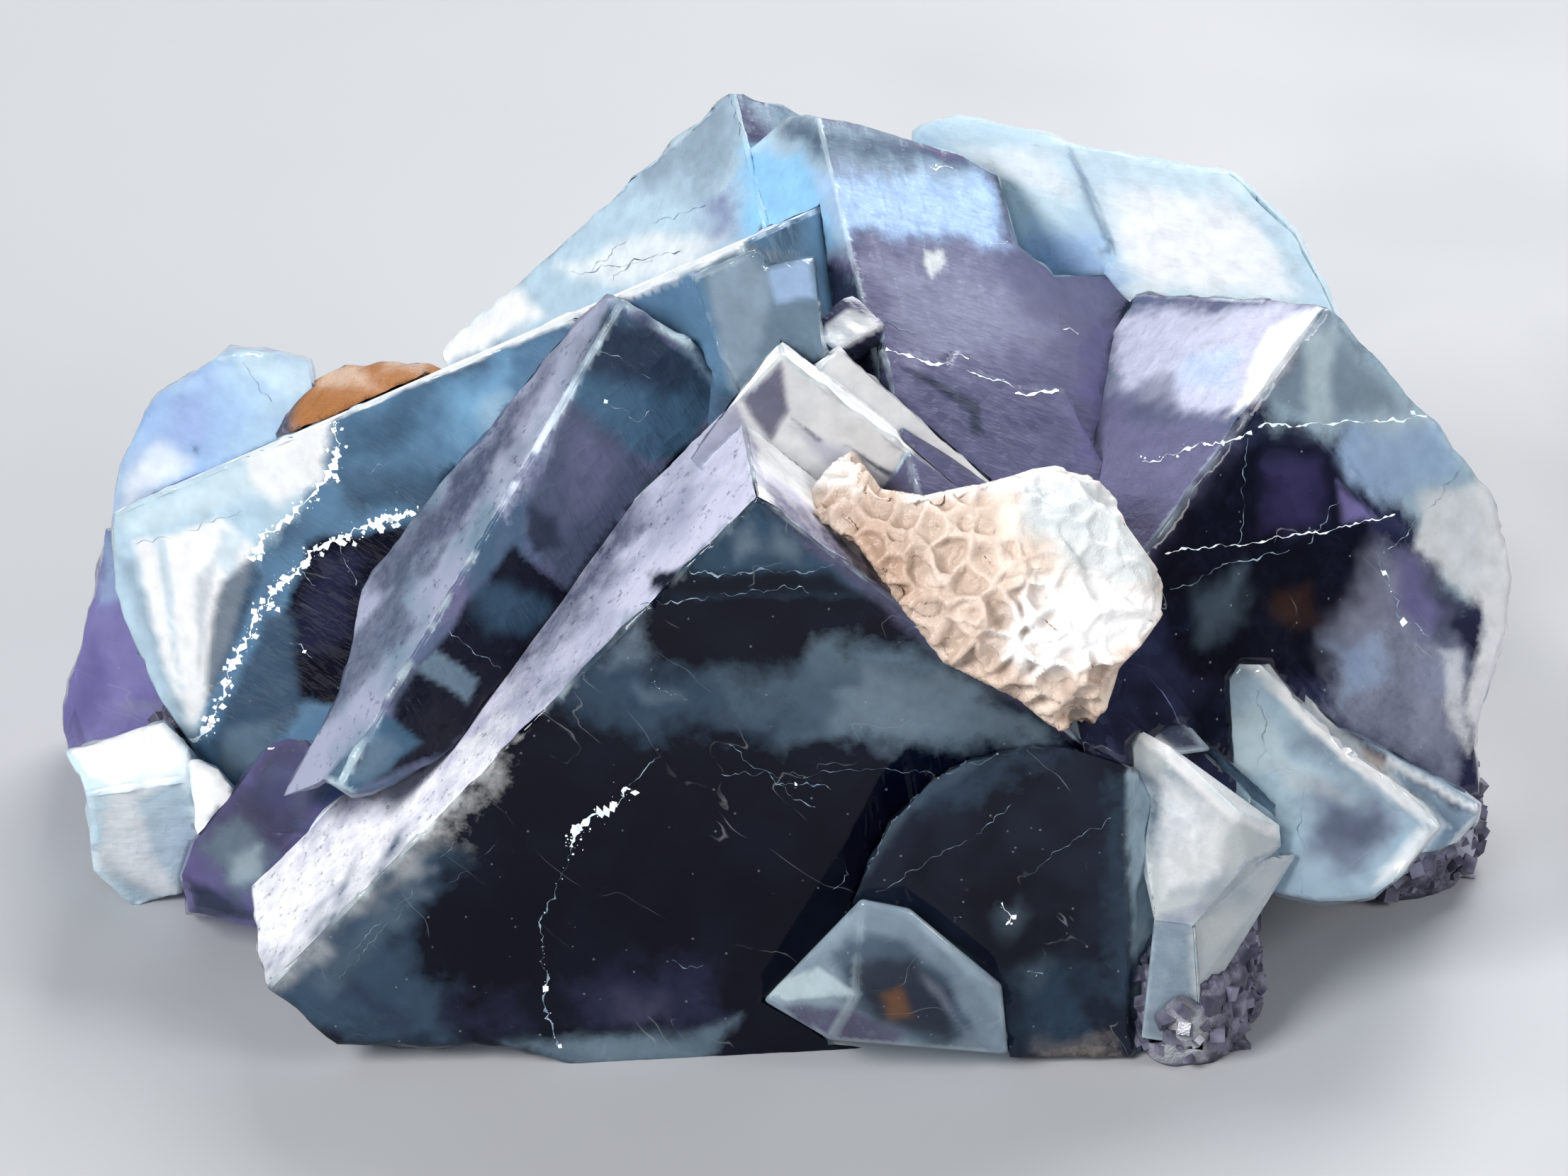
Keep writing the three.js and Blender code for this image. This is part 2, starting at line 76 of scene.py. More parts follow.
PALETTE = {
    "navy": "#04071a",
    "night": "#0c1226",
    "ink": "#1d2538",
    "indigo": "#2c2f4e",
    "dusk": "#434b61",
    "slate": "#3f566d",
    "fog": "#6a7f90",
    "teal": "#3b576f",
    "haze": "#8c9fb0",
    "pale_teal": "#b9d3e3",
    "sky": "#93c9ef",
    "blue": "#5f83a2",
    "periwinkle": "#a8c4e8",
    "lilac": "#c0c1d5",
    "pearl": "#969ab0",
    "mauve": "#62617f",
    "purple": "#5a5290",
    "violet": "#8780b8",
    "mint": "#d4e8f0",
    "milk": "#cbd1d3",
    "white": "#fbfcfd",
    "cream": "#ead9cb",
    "sand": "#bfaa9b",
    "tan": "#98806f",
    "rust": "#9c6532",
    "rock": "#3a3a4a",
    "stone": "#77768a",
    "pale_stone": "#a6a8ac",
}


def linear(code):
    """The linear colour of a code such as #4c6472."""
    return Color([int(code[i:i + 2], 16) / 255 for i in (1, 3, 5)]).from_srgb_to_scene_linear()


def seen(u, v, w):
    """The place, in metres, of a point of the show side."""
    shrink = 1 - w / EYE_DISTANCE
    return (VIEW_MIDDLE + u * shrink * ACROSS + v * shrink * UPWARD + w * TO_EYE) * MM


def shown_at(places):
    """The show side's u and v of places in metres, one row for each."""
    rows = np.asarray(places) / MM - np.array(VIEW_MIDDLE)
    shrink = 1 - rows @ np.array(TO_EYE) / EYE_DISTANCE
    return np.stack([rows @ np.array(ACROSS) / shrink, rows @ np.array(UPWARD) / shrink], 1)


def cube_axes(*degrees):
    """A cube's three edges in space, from the angles at which they are seen."""
    angles = np.radians(degrees)
    rows = np.array([np.cos(2 * angles), np.sin(2 * angles), np.ones(3)])
    squares = np.linalg.solve(rows, [0, 0, 2])
    flat = np.sqrt(squares)[:, None] * np.stack([np.cos(angles), np.sin(angles)], 1)
    axes = []
    for i, (across, upward) in enumerate(flat):
        away = i == 2 or flat[i] @ flat[2] < 0
        depth = math.sqrt(max(0, 1 - squares[i])) * (-1 if away else 1)
        axes.append(Vector(across * ACROSS + upward * UPWARD + depth * TO_EYE))
    return axes


def plate_axes(long_edge, aside):
    """A plate's edges: the long one lies flat in the view, the broad face is turned aside."""
    angle, turn = math.radians(long_edge), math.radians(aside)
    along = math.cos(angle) * ACROSS + math.sin(angle) * UPWARD
    square = -math.sin(angle) * ACROSS + math.cos(angle) * UPWARD
    across = math.cos(turn) * square - math.sin(turn) * TO_EYE
    through = -math.sin(turn) * square - math.cos(turn) * TO_EYE
    return [along, across, through]


# Each crystal's three edges in space. The low front crystal and the blades have none.

FRONT_AXES = cube_axes(225, 323, 101)
AXES = {
    "front_crystal": FRONT_AXES,
    "front_right_crystal": FRONT_AXES,
    "middle_crystal": plate_axes(239.6, 28),
    "left_crystal": cube_axes(202.5, 293.5, 28),
    "rear_crystal": cube_axes(342, 283, 220),
    "rear_right_crystal": cube_axes(348, 274, 50),
    "right_crystal": cube_axes(233.4, 312.5, 175),
    "right_low_crystal": cube_axes(138.5, 229.5, 30),
    "left_rear_crystal": cube_axes(190, 285, 60),
    "left_purple_crystal": cube_axes(196, 290, 50),
    "left_low_crystal": cube_axes(189, 285, 95),
    "left_small_crystal": cube_axes(225, 316, 95),
}


# Painted zones, with a few layers of painted shade and painted highlight among them. Each
# layer is a colour, how strongly it covers, how soft its border is in millimetres, and its
# outline on the show side.

ZONES_AND_PAINTED_LIGHT = {
    "front_crystal": [
        ("teal", 0.9, 0.8, [(-1.8, 5.6), (5.6, -0.2), (-8.2, -0.4)]),
        ("haze", 0.6, 0.7, [(-3.2, 3.4), (-2, 4), (-1.4, 2.6), (-3, 1.9)]),
        ("haze", 0.5, 0.6, [(-0.6, 3.8), (1.4, 2.6), (0.6, 1.6), (-0.8, 2.2)]),
        ("navy", 0.95, 0.4, [(-8.6, 1), (3, 1), (4.6, -0.3), (-8, -0.6)]),
        ("fog", 0.9, 1.2, [(2, -3), (9, -4.2), (17.8, -9.8), (10, -10.4), (0, -9.8),
                            (1.2, -5.4)]),
        ("slate", 0.85, 1.6, [(-9.6, -2.4), (-8.6, -4.8), (-4, -5.4), (4, -5), (3, -9.4),
                              (-11, -9.4), (-15.4, -7.2)]),
        ("fog", 0.35, 1.0, [(-4.6, -5.2), (3.2, -5.2), (3, -8), (-3.6, -8.8)]),
        ("haze", 0.5, 0.8, [(-9.6, -1.6), (-8.9, -1.8), (-8.8, -4.4), (-11.4, -5)]),
        ("haze", 0.6, 1, [(4.8, -5), (11.4, -6), (16, -9.4), (9, -9.8), (3, -8.6)]),
        ("haze", 0.35, 0.6, [(-9.4, -6.2), (-6.8, -6.6), (-6.4, -7.2), (-9, -7)]),
        ("slate", 0.95, 1.6, [(-33.4, -25.2), (-24, -16), (-20.6, -16.6), (-25, -22.4),
                              (-21.4, -25.6), (-21.6, -29.6), (-30.6, -28.4)]),
        ("fog", 0.4, 0.6, [(-30.6, -25.6), (-23.4, -18.2), (-23, -19.4), (-29, -26.4)]),
        ("indigo", 0.6, 1.0, [(-28.4, -25), (-24, -28), (-24.6, -28.6), (-28.6, -26)]),
        ("indigo", 0.75, 1.4, [(-14, -24.8), (-5, -24), (-3.4, -28), (-13, -28.4)]),
        ("mauve", 0.3, 1.0, [(-11, -26.4), (-8, -26), (-7.6, -27.8), (-11, -27.9)]),
        ("indigo", 0.5, 1.4, [(-21, -25.6), (-16.4, -26), (-16.6, -28.6), (-21.4, -28.4)]),
        ("fog", 0.9, 0.6, [(-18, -29), (-12, -28.9), (-6, -28.5), (-2.6, -27.4), (-5.6, -31),
                            (-13, -31.4)]),
        ("haze", 0.4, 0.4, [(-14, -29.4), (-7, -29), (-6, -29.8), (-12, -30.4)]),
        ("lilac", 1.0, 0.3, [(-6.6, 6.6), (-6.6, 12.6), (-2.6, 12.6), (-1.4, 7)]),
        ("pearl", 0.6, 1.6, [(-10.6, 5), (-7, 8.6), (-5, 8), (-11, -1), (-17.4, -8),
                             (-16, -4)]),
        # Painted shade: a dark band along the lilac strip's left border.
        ("dusk", 0.75, 1.0, [(-13.4, 1), (-9.4, 6.6), (-9, 4), (-12.4, -0.6), (-17.4, -6.4),
                             (-17.6, -5.4)]),
        ("white", 0.7, 2.4, [(-36, -19), (-27, -13.4), (-18, -8), (-19, -12), (-35, -26.6)]),
        ("white", 1.0, 0.25, [(-3.4, 12.6), (-0.1, 16), (3.4, 15.8), (15, 6.6), (15, 0), (6, 0.8),
                              (3.2, 3.9), (-1, 7.7)]),
        ("mauve", 0.9, 0.25, [(-2.7, 12.1), (-0.2, 14.4), (0.3, 11.4), (-0.9, 9.4)]),
        ("indigo", 0.9, 0.12, [(0.5, 10.9), (2.5, 9.5), (2.3, 9.2)]),
        ("indigo", 0.9, 0.12, [(3.8, 9.2), (7.1, 7.3), (6.8, 7)]),
        ("indigo", 0.9, 0.12, [(7.5, 8.5), (9.4, 6.8), (9.1, 6.5)]),
        ("mauve", 0.8, 0.2, [(8.3, 9.6), (8.7, 8.7), (10.6, 6.3), (8.2, 8.4)]),
        ("lilac", 0.7, 0.4, [(0.6, 10.4), (3.6, 9), (7, 6.6), (3, 7.6)]),
        ("mauve", 0.8, 0.5, [(-1.4, 7.2), (1.6, 4.9), (8.4, -0.6), (18.4, -9.4), (10, -4.4),
                             (3, 1.4), (-0.8, 5)]),
    ],
    "front_right_crystal": [
        ("ink", 0.9, 0.4, [(14, -9.6), (4.6, -17), (-3, -26), (-3, -29.6), (7, -20), (8, -14)]),
        ("fog", 0.5, 0.5, [(14.4, -9.4), (10.6, -11.2), (6.8, -14.8), (4.4, -18.4),
                           (5.4, -18.2), (7.9, -14.4), (11.6, -11.8)]),
        ("pale_teal", 0.9, 0.35, [(21.9, -11.4), (24.6, -13), (24.6, -30.4), (22.6, -30.4),
                                  (22.2, -18)]),
        ("slate", 0.6, 1.4, [(20.6, -12), (22.2, -13), (22.4, -28), (20, -26), (21, -18)]),
        ("slate", 0.6, 1.4, [(7.4, -13), (12, -10.8), (18, -10.2), (14, -12.4), (8.6, -15)]),
        ("navy", 0.7, 1.6, [(8, -18), (13, -21), (19, -20), (18, -27), (14, -26), (12, -22)]),
        ("teal", 0.5, 1.4, [(14, -25.4), (19, -24), (19.4, -29.4), (14.4, -29.8)]),
        ("fog", 0.5, 1.0, [(13.6, -20.2), (15.4, -20.4), (15, -22), (13.8, -21.4)]),
        ("fog", 0.4, 1.0, [(15.4, -24.4), (17, -24.2), (16.6, -25), (15.2, -25.6)]),
        ("cream", 0.25, 1.0, [(16.4, -29.4), (21, -28.8), (22.4, -31), (17, -31)]),
    ],
    "middle_crystal": [
        ("teal", 0.95, 0.8, [(-11.6, 18.6), (-3, 12.4), (-7, 8.2), (-9.6, 8.2), (-14.6, 12.8)]),
        ("ink", 0.85, 1.0, [(-12, 17.4), (-7.6, 16.6), (-4.4, 12.4), (-9, 12.8), (-13, 14)]),
        ("fog", 0.85, 0.3, [(-11.4, 19), (-9, 18.6), (-6.1, 16), (-3.4, 12.4), (-4, 12.4),
                            (-6.8, 15.8), (-9.2, 17.9), (-11, 18.3)]),
        ("dusk", 0.95, 0.6, [(-14, 12.4), (-11, 9.8), (-8.2, 7.4), (-11.2, 2.8), (-14, -0.4),
                             (-16.8, 4)]),
        ("mauve", 0.4, 0.8, [(-13.6, 10.6), (-10.6, 8.6), (-11.4, 5), (-14.2, 4)]),
        ("ink", 0.8, 0.4, [(-16.6, 5.6), (-14.8, 4.6), (-14.2, 2.6), (-16.2, 2.2)]),
        ("navy", 0.95, 0.4, [(-17.4, 2.6), (-14, 0), (-13, -1), (-21.5, -10.4), (-27.6, -12.6),
                             (-24, -6)]),
        ("teal", 0.6, 0.8, [(-20, 0.6), (-16, -0.4), (-15, -2.4), (-19, -3)]),
        ("fog", 0.75, 0.2, [(-23.6, -5.2), (-22.3, -4), (-19.6, -6), (-20.2, -7.4)]),
        ("teal", 0.9, 0.2, [(-25.7, -8.1), (-23.2, -9.9), (-27.7, -13.2), (-29.3, -12)]),
        ("fog", 0.5, 0.5, [(-26.4, -9.4), (-24.4, -10.4), (-27, -12.4), (-28.6, -11.6)]),
        ("lilac", 0.3, 0.5, [(-11.4, 18.6), (-13.2, 13.2), (-17.2, 5), (-18, 4), (-19, 8),
                             (-14, 15)]),
        ("dusk", 0.85, 1.0, [(-27, 0), (-25.3, 2.6), (-17.9, 11.4), (-14, 16), (-17.4, 9),
                             (-20.4, 4.4), (-24.4, -0.6)]),
        ("dusk", 0.7, 0.5, [(-30.9, -6.2), (-24.9, 0), (-23.6, -2.4), (-29.4, -8.8)]),
    ],
    "left_crystal": [
        ("pale_teal", 0.95, 0.8, [(-45, 5), (-29.6, 11), (-31, 5), (-35, 0), (-38, -10), (-41, -8),
                                  (-45, 0)]),
        ("haze", 0.6, 0.4, [(-42.8, 2), (-41.6, 1.6), (-37.8, -9.6), (-38.8, -9)]),
        ("white", 1.0, 0.35, [(-41.6, 3), (-36, 4.4), (-34, 2.6), (-35.6, -3.4), (-37.9, -9),
                              (-39.4, -6.4), (-41, 0)]),
        ("mint", 0.9, 0.6, [(-42.4, 4.6), (-34, 8.4), (-33, 6.2), (-41.6, 3.4)]),
        ("pale_teal", 0.7, 0.2, [(-40.4, 3.4), (-39.6, 3.2), (-38.4, -8.6)]),
        ("haze", 0.45, 0.25, [(-37.6, 0.6), (-36.4, 2), (-37.6, -6.4)]),
        ("pale_teal", 0.6, 0.3, [(-36, 3.8), (-34.6, 3.4), (-35.4, 0.4), (-36.4, 1.4)]),
        ("white", 0.9, 0.5, [(-34.6, 9.6), (-29, 11.4), (-29.4, 7), (-32.4, 5), (-34, 6)]),
        ("slate", 0.85, 0.35, [(-36.2, 0.4), (-34, 2), (-33.4, 0.6), (-36.8, -7.2), (-37.2, -6)]),
        ("blue", 0.95, 1.0, [(-28.4, 10.8), (-4, 20.8), (-4, 14), (-16, 6), (-28, 6)]),
        ("teal", 0.7, 1.2, [(-28, 10.4), (-23.6, 12.4), (-24, 9), (-28.6, 8)]),
        ("sky", 0.5, 1.4, [(-21.6, 12.2), (-17.4, 14.2), (-17.6, 10.6), (-20.4, 9.4)]),
        ("pale_teal", 0.5, 0.6, [(-19.4, 12), (-17.6, 12.6), (-17.6, 10.4), (-19.2, 10)]),
        ("slate", 0.8, 1.0, [(-28.6, 7.4), (-20, 8), (-21, 4.6), (-28, 5)]),
        ("navy", 0.97, 0.5, [(-30.6, 2.8), (-28, 3.4), (-22.4, 4.4), (-24, -2), (-28.4, -7.6),
                             (-31.4, -7), (-32, -2)]),
        ("indigo", 0.6, 0.9, [(-30, 2), (-27, 2), (-28, -3), (-31.6, -4)]),
        ("slate", 0.9, 0.5, [(-33, -1.6), (-31.6, -1.6), (-31, -8), (-34.6, -12.8), (-37, -10)]),
        ("fog", 0.7, 0.6, [(-36, -9), (-32.4, -8.6), (-33, -12), (-36, -12.4)]),
        ("white", 0.95, 0.2, [(-43.4, 4.9), (-2.6, 21.6), (-2.6, 23), (-43.4, 6.4)]),
        ("blue", 0.95, 0.3, [(-6.6, 20.2), (-5.5, 20.6), (-3.2, 12.6), (-6, 15.4)]),
        ("fog", 0.97, 0.25, [(-5.4, 20.4), (-2.6, 22), (2, 21.2), (3.2, 12.6), (-3.2, 12.4)]),
        ("haze", 0.85, 0.4, [(-5, 20), (-2.6, 21.4), (-0.8, 19.6), (-1.6, 14.6), (-3.4, 13)]),
        ("periwinkle", 0.7, 0.25, [(-1.2, 20.4), (1.7, 21.2), (2, 18.6), (-0.6, 18.2)]),
    ],
    "rear_crystal": [
        ("pale_teal", 0.9, 1.5, [(-24, 15), (-14, 23), (-7, 27), (-2.6, 23), (-12, 17)]),
        ("white", 0.97, 0.6, [(-23, 15.4), (-17, 19.4), (-15.6, 17.6), (-22, 14)]),
        ("white", 0.6, 0.6, [(-15, 20.4), (-9, 22.6), (-4, 22.6), (-6, 20.6), (-10, 19.4)]),
        ("haze", 0.7, 1.4, [(-9, 27), (-3.6, 31.4), (-3, 27), (-6, 25)]),
        ("purple", 0.5, 1.0, [(-5.4, 24.6), (-2.8, 26), (-2.6, 22.6), (-5, 22.4)]),
        ("sky", 0.97, 1.0, [(-2.6, 28.6), (2.4, 27), (3.2, 21.4), (-2.4, 21.6)]),
        ("haze", 0.85, 0.6, [(-3, 31.4), (8.6, 29), (8.6, 28.4), (-0.4, 28.8)]),
        ("indigo", 0.9, 0.5, [(-2.4, 21.2), (3.4, 21.2), (4.4, 17.6), (2, 16), (-2, 18)]),
        ("slate", 0.7, 0.7, [(-0.6, 30.2), (12.6, 27.2), (12.4, 26.4), (2, 27.6)]),
        ("periwinkle", 0.85, 1.0, [(2.2, 26.6), (12.8, 26.8), (14.4, 22), (10, 22.2), (3.4, 23)]),
        ("haze", 0.6, 0.8, [(2.6, 28.6), (12, 27), (12, 25.6), (3, 26.6)]),
        ("mauve", 0.97, 1.2, [(3.2, 22), (10, 21.6), (15, 21.2), (22.4, 19.6), (21, 12), (26, 9),
                              (20, -4), (4.2, 4)]),
        ("pearl", 0.45, 1.6, [(5, 21.4), (13, 20.8), (17, 16), (8, 15)]),
        ("indigo", 0.5, 2.0, [(6, 14), (18, 13), (21, 4), (8, 4)]),
        ("purple", 0.45, 1.4, [(19.6, 17), (22, 14), (22.6, 8), (19.4, 8)]),
        # Painted shadow below the white step ledges.
        ("ink", 0.85, 0.2, [(7.6, 14.1), (8.4, 14.1), (12.4, 11.9), (12.8, 9.8), (12, 9.9),
                            (11.8, 11.4)]),
        ("milk", 0.9, 0.2, [(9, 20.8), (9, 21.6), (9.6, 21.4), (10.2, 21.6), (10.3, 20.8),
                            (9.5, 20)]),
        ("ink", 0.7, 0.12, [(13.4, 26.6), (14.4, 22.6), (14.7, 22.4), (13.8, 26.4)]),
        # Painted highlight on a step's top, and painted shadow below it.
        ("white", 0.97, 0.15, [(2.1, 16.2), (4.1, 18), (6.3, 17), (3.6, 15.2)]),
        ("ink", 0.9, 0.2, [(3.7, 15.1), (6.3, 16.9), (6.6, 14), (5.3, 13.2)]),
    ],
    "rear_right_crystal": [
        ("mint", 0.95, 2, [(18, 28.4), (34, 26), (36, 17), (22, 19)]),
        ("white", 1.0, 1.2, [(21, 25.4), (30, 24.4), (33, 19), (22.6, 19)]),
        ("mint", 0.8, 0.9, [(9, 29.6), (18, 28.4), (20, 25.4), (14.6, 22)]),
        ("white", 0.6, 0.6, [(10.6, 28.4), (17.6, 27.6), (18.6, 25), (12.6, 26.4)]),
        ("periwinkle", 0.9, 1.0, [(14.6, 23), (20.4, 22.6), (21.4, 19.4), (16, 19.8)]),
        ("haze", 0.9, 0.18, [(18.2, 28.2), (19.8, 25.3), (20.9, 22.6), (20.4, 22.4), (19.2, 25)]),
        ("fog", 0.7, 0.15, [(20.4, 22.6), (21.2, 22.2), (21, 21.4), (20.2, 21.4), (20.6, 22)]),
        ("pale_teal", 0.6, 0.5, [(30, 26.4), (34.6, 20), (35.4, 17), (33, 18.6), (29.6, 25)]),
    ],
    "right_crystal": [
        ("lilac", 0.9, 0.9, [(21, 17.4), (35, 18.4), (30.6, 11.6), (25, 11), (21, 13)]),
        ("white", 0.8, 0.5, [(31, 16.4), (34.6, 18), (31, 12.4), (28.4, 10.8), (30, 13.6)]),
        ("periwinkle", 0.5, 0.8, [(25.6, 15), (29.4, 15.4), (28.6, 13), (25.4, 12.8)]),
        ("mauve", 0.95, 1.0, [(19, 13.4), (24.4, 11.6), (29.4, 9.6), (23, 1), (17, 2)]),
        ("dusk", 0.6, 0.6, [(22.6, 13.6), (25, 13.6), (25.2, 10.6), (22.2, 10.8)]),
        ("pale_teal", 0.9, 1.2, [(35, 18), (46, 8), (46.4, 0), (43, 0), (39.6, 4.6), (36, 9.8),
                                 (31.4, 10.6)]),
        ("mint", 0.6, 1.0, [(37, 13.6), (41, 11), (42, 8), (38, 9)]),
        ("haze", 0.85, 0.6, [(31, 12), (34.6, 17), (40, 11.4), (35, 10.8)]),
        ("haze", 0.5, 0.4, [(31.6, 12), (33.4, 15), (33.4, 11.4)]),
        ("mint", 0.85, 0.5, [(33.4, 16), (35.4, 16.8), (34.9, 10.8), (33.4, 10.9)]),
        ("periwinkle", 0.8, 0.9, [(36, 10.2), (42, 10.6), (43, 7.6), (39, 5.6), (35.4, 7.6)]),
        ("indigo", 0.9, 0.9, [(30.4, 9.8), (34.4, 9.4), (37.6, 4.6), (35, 3), (30, 4)]),
        ("navy", 0.85, 0.6, [(30.4, 9.8), (34.4, 9.4), (37.6, 4.6), (38.8, -1.6), (34, -6),
                             (26, -6), (22.6, 0.6), (25, 4.6)]),
        ("fog", 0.6, 1.0, [(26.4, -0.4), (29.4, 1.6), (29.6, -2), (27, -3.2)]),
        ("rust", 0.12, 1.0, [(31.2, -0.4), (33.6, 0), (34.4, -2.4), (32, -2)]),
        ("violet", 0.95, 0.3, [(35.4, 6.8), (38, 4.5), (36, 4.2)]),
        ("purple", 0.35, 1.0, [(31, 8), (34, 8.4), (34.6, 4.4), (31, 3.6)]),
        ("pearl", 0.8, 1.2, [(38.4, 3), (41, 1.6), (44, -5), (43, -12.6), (35, -8), (35, -3)]),
        ("indigo", 0.7, 0.7, [(41.4, 0.4), (43, -1), (42.6, -4), (39.4, -1.2), (39.4, 2.4)]),
        ("violet", 0.6, 0.8, [(39.4, 2.6), (42, -1.6), (41, -3), (39.2, -1.4)]),
        ("periwinkle", 0.5, 0.8, [(35, -4), (38, -3), (39, -6), (36, -7)]),
        ("white", 0.97, 0.4, [(44.6, 8), (47, 2), (47, -3), (45.4, -7), (45, -13), (43.8, -8),
                              (44.8, -2)]),
        ("white", 0.8, 0.5, [(41, 6), (45.4, 7), (45, -1.6), (42.6, 0.6), (40.4, 2.6)]),
        ("white", 0.6, 0.3, [(42.2, -4), (43.4, -4), (44, -11), (42.8, -9)]),
        ("pearl", 0.6, 0.5, [(40.6, -7), (42.6, -8), (43, -12), (41, -10)]),
    ],
    "right_low_crystal": [
        ("pale_teal", 0.8, 1.0, [(26, -6), (31, -5), (33, -10), (42, -16), (39, -20), (31, -18)]),
        ("mauve", 0.7, 1.2, [(34, -12.4), (38, -13.4), (39.4, -16), (36, -18.6), (33.4, -17)]),
        ("dusk", 0.5, 0.8, [(35, -14), (38, -14.4), (37.6, -16.6), (34.6, -16.4)]),
        ("mint", 0.8, 0.6, [(27, -9.6), (30.4, -7.4), (33, -11.4), (29, -12)]),
        ("milk", 0.5, 0.5, [(31.6, -11), (34, -11.6), (36.4, -13.4), (32.4, -13)]),
        ("white", 0.97, 0.25, [(29.3, -4.7), (31.4, -4.7), (36.8, -10), (42.8, -15.4),
                               (40.8, -15), (36, -11.2), (32.6, -8), (30.6, -5.8)]),
        ("white", 0.9, 0.25, [(42.4, -15.3), (40.2, -18), (37.6, -19.6), (38, -18.8),
                              (40.8, -15.4)]),
        ("cream", 0.9, 0.2, [(37, -10.2), (38.4, -10.4), (38.6, -11.8), (37.2, -11)]),
        ("dusk", 0.9, 0.4, [(33, -6), (39, -11), (44.6, -14.4), (43, -14.2), (36, -9.4)]),
        ("white", 0.8, 0.2, [(38.6, -10.6), (44.8, -14), (44.8, -14.6), (38.6, -11.4)]),
    ],
    "left_rear_crystal": [
        ("pale_teal", 0.9, 1.6, [(-44, 4), (-35, 15.4), (-30, 15), (-30, 11), (-43, 3)]),
        ("periwinkle", 0.9, 1.6, [(-44, 4), (-38, 13.4), (-33.6, 12), (-36, 7), (-43, 3)]),
        ("mint", 0.9, 0.6, [(-35.4, 15.6), (-30, 14.6), (-30.6, 12), (-33, 12.6), (-34.4, 14)]),
        ("violet", 0.35, 1.2, [(-39, 12.4), (-37, 12.6), (-37, 9.4), (-39.6, 9.6)]),
        ("indigo", 0.7, 0.3, [(-38, 9.1), (-37.4, 9.3), (-37.6, 8.5)]),
        ("white", 0.8, 0.8, [(-42.6, 6.4), (-40, 9.6), (-38, 7.6), (-42.4, 5)]),
    ],
    "left_purple_crystal": [
        ("violet", 0.95, 1.2, [(-46.4, -8), (-42.8, 2), (-40, -6), (-41, -9), (-45, -10.6)]),
        ("purple", 0.7, 0.8, [(-46, -8.6), (-44.4, -3), (-43.4, -6), (-44.6, -9.4)]),
        ("periwinkle", 0.8, 0.6, [(-44, 3), (-43, 3.6), (-42.2, -1), (-43.6, -1)]),
        ("pearl", 0.6, 0.4, [(-43, -7.2), (-39.4, -7.2), (-39.6, -8.2), (-42, -8)]),
    ],
    "left_low_crystal": [
        ("white", 0.75, 0.6, [(-43.4, -12.8), (-38.4, -11.4), (-37.4, -15.6), (-38.6, -20.6),
                            (-44, -18)]),
        ("pale_teal", 0.8, 0.4, [(-41.6, -13.6), (-38.6, -12), (-37.6, -15.6), (-38.6, -19.6),
                                 (-40.6, -17)]),
        ("white", 0.97, 0.3, [(-46, -10), (-39.8, -8.4), (-37.6, -11.2), (-43.2, -12.6),
                              (-44.6, -12)]),
        ("white", 0.95, 0.25, [(-38, -11), (-36.2, -11.6), (-35, -13.2), (-37.6, -16.2)]),
        ("haze", 0.5, 0.6, [(-43.6, -17.6), (-39.2, -19.4), (-39, -20.8), (-42, -20.6)]),
    ],
    "left_small_crystal": [
        ("mauve", 0.95, 1.0, [(-35.4, -13), (-32, -9.4), (-28, -12), (-32.4, -17)]),
        ("pearl", 0.35, 1.0, [(-33.4, -12), (-31.6, -10), (-29, -12), (-31, -14.6)]),
        ("purple", 0.4, 0.8, [(-33.4, -13), (-31.4, -10), (-29.6, -12), (-32, -14.4)]),
        ("haze", 0.9, 0.9, [(-37.6, -16.6), (-35, -14.6), (-32.6, -17.4), (-35, -20)]),
        ("mint", 0.8, 0.6, [(-35.4, -17.2), (-33.6, -16.6), (-33.8, -18.4), (-35.4, -19)]),
        ("dusk", 0.9, 0.6, [(-38.4, -18.6), (-35, -19.8), (-33, -21.6), (-38, -21)]),
    ],
    "low_front_crystal": [
        ("haze", 0.8, 0.6, [(1, -24.6), (6, -20.6), (10, -22), (13.6, -27), (13, -30), (8, -30)]),
        ("slate", 0.8, 0.6, [(3, -23.4), (6.4, -21.6), (10, -23.2), (12.6, -28), (10, -29.6),
                             (4.6, -27)]),
        ("ink", 0.9, 0.5, [(4, -24.4), (8.4, -23.4), (10.6, -26), (10.8, -28.8), (6, -27.6)]),
        ("haze", 0.85, 0.3, [(5, -20.9), (8.4, -21.4), (10.8, -24), (13.6, -27.8), (13, -29.4),
                             (10.4, -25), (8, -22.6), (5, -21.9)]),
        ("pearl", 0.6, 0.3, [(8.4, -24.4), (10, -25.6), (11.6, -28.4), (10.4, -27)]),
        ("rust", 0.6, 0.35, [(6.2, -26.2), (7.4, -25.8), (8, -27.4), (6.8, -27.8)]),
        ("mint", 0.97, 0.2, [(-1.4, -25.7), (2.2, -24.2), (4.6, -26), (0.3, -26.5)]),
        ("mauve", 0.85, 0.4, [(0, -26.8), (4, -26.8), (8, -28.6), (6, -30), (1, -29.6)]),
    ],
    "pale_blades": [
        ("white", 0.95, 0.3, [(21, -8), (24.8, -9.8), (31.8, -15), (31.4, -16), (28, -14.4),
                              (24, -10.8)]),
        ("dusk", 0.9, 0.35, [(21, -5), (22.4, -5), (27, -10.2), (25.4, -10.6), (21.4, -7.4)]),
        ("white", 0.6, 0.6, [(23.6, -11.6), (29, -15), (28, -18.4), (24, -20)]),
        ("haze", 0.85, 0.5, [(23.2, -21.4), (26.2, -21.4), (26.6, -29), (23, -28.6)]),
        ("pearl", 0.5, 0.3, [(24, -21), (27.4, -19.6), (27, -21), (24.6, -22)]),
    ],
    "calcite": [
        ("sand", 1.0, 1.5, [(-2, 9.6), (7, 6), (13, 7), (15.4, -8), (19, -11), (8, -2), (2, 4)]),
        ("cream", 0.5, 1.2, [(8, 5), (12, 6), (14, 0), (12, -3.6), (10, 0)]),
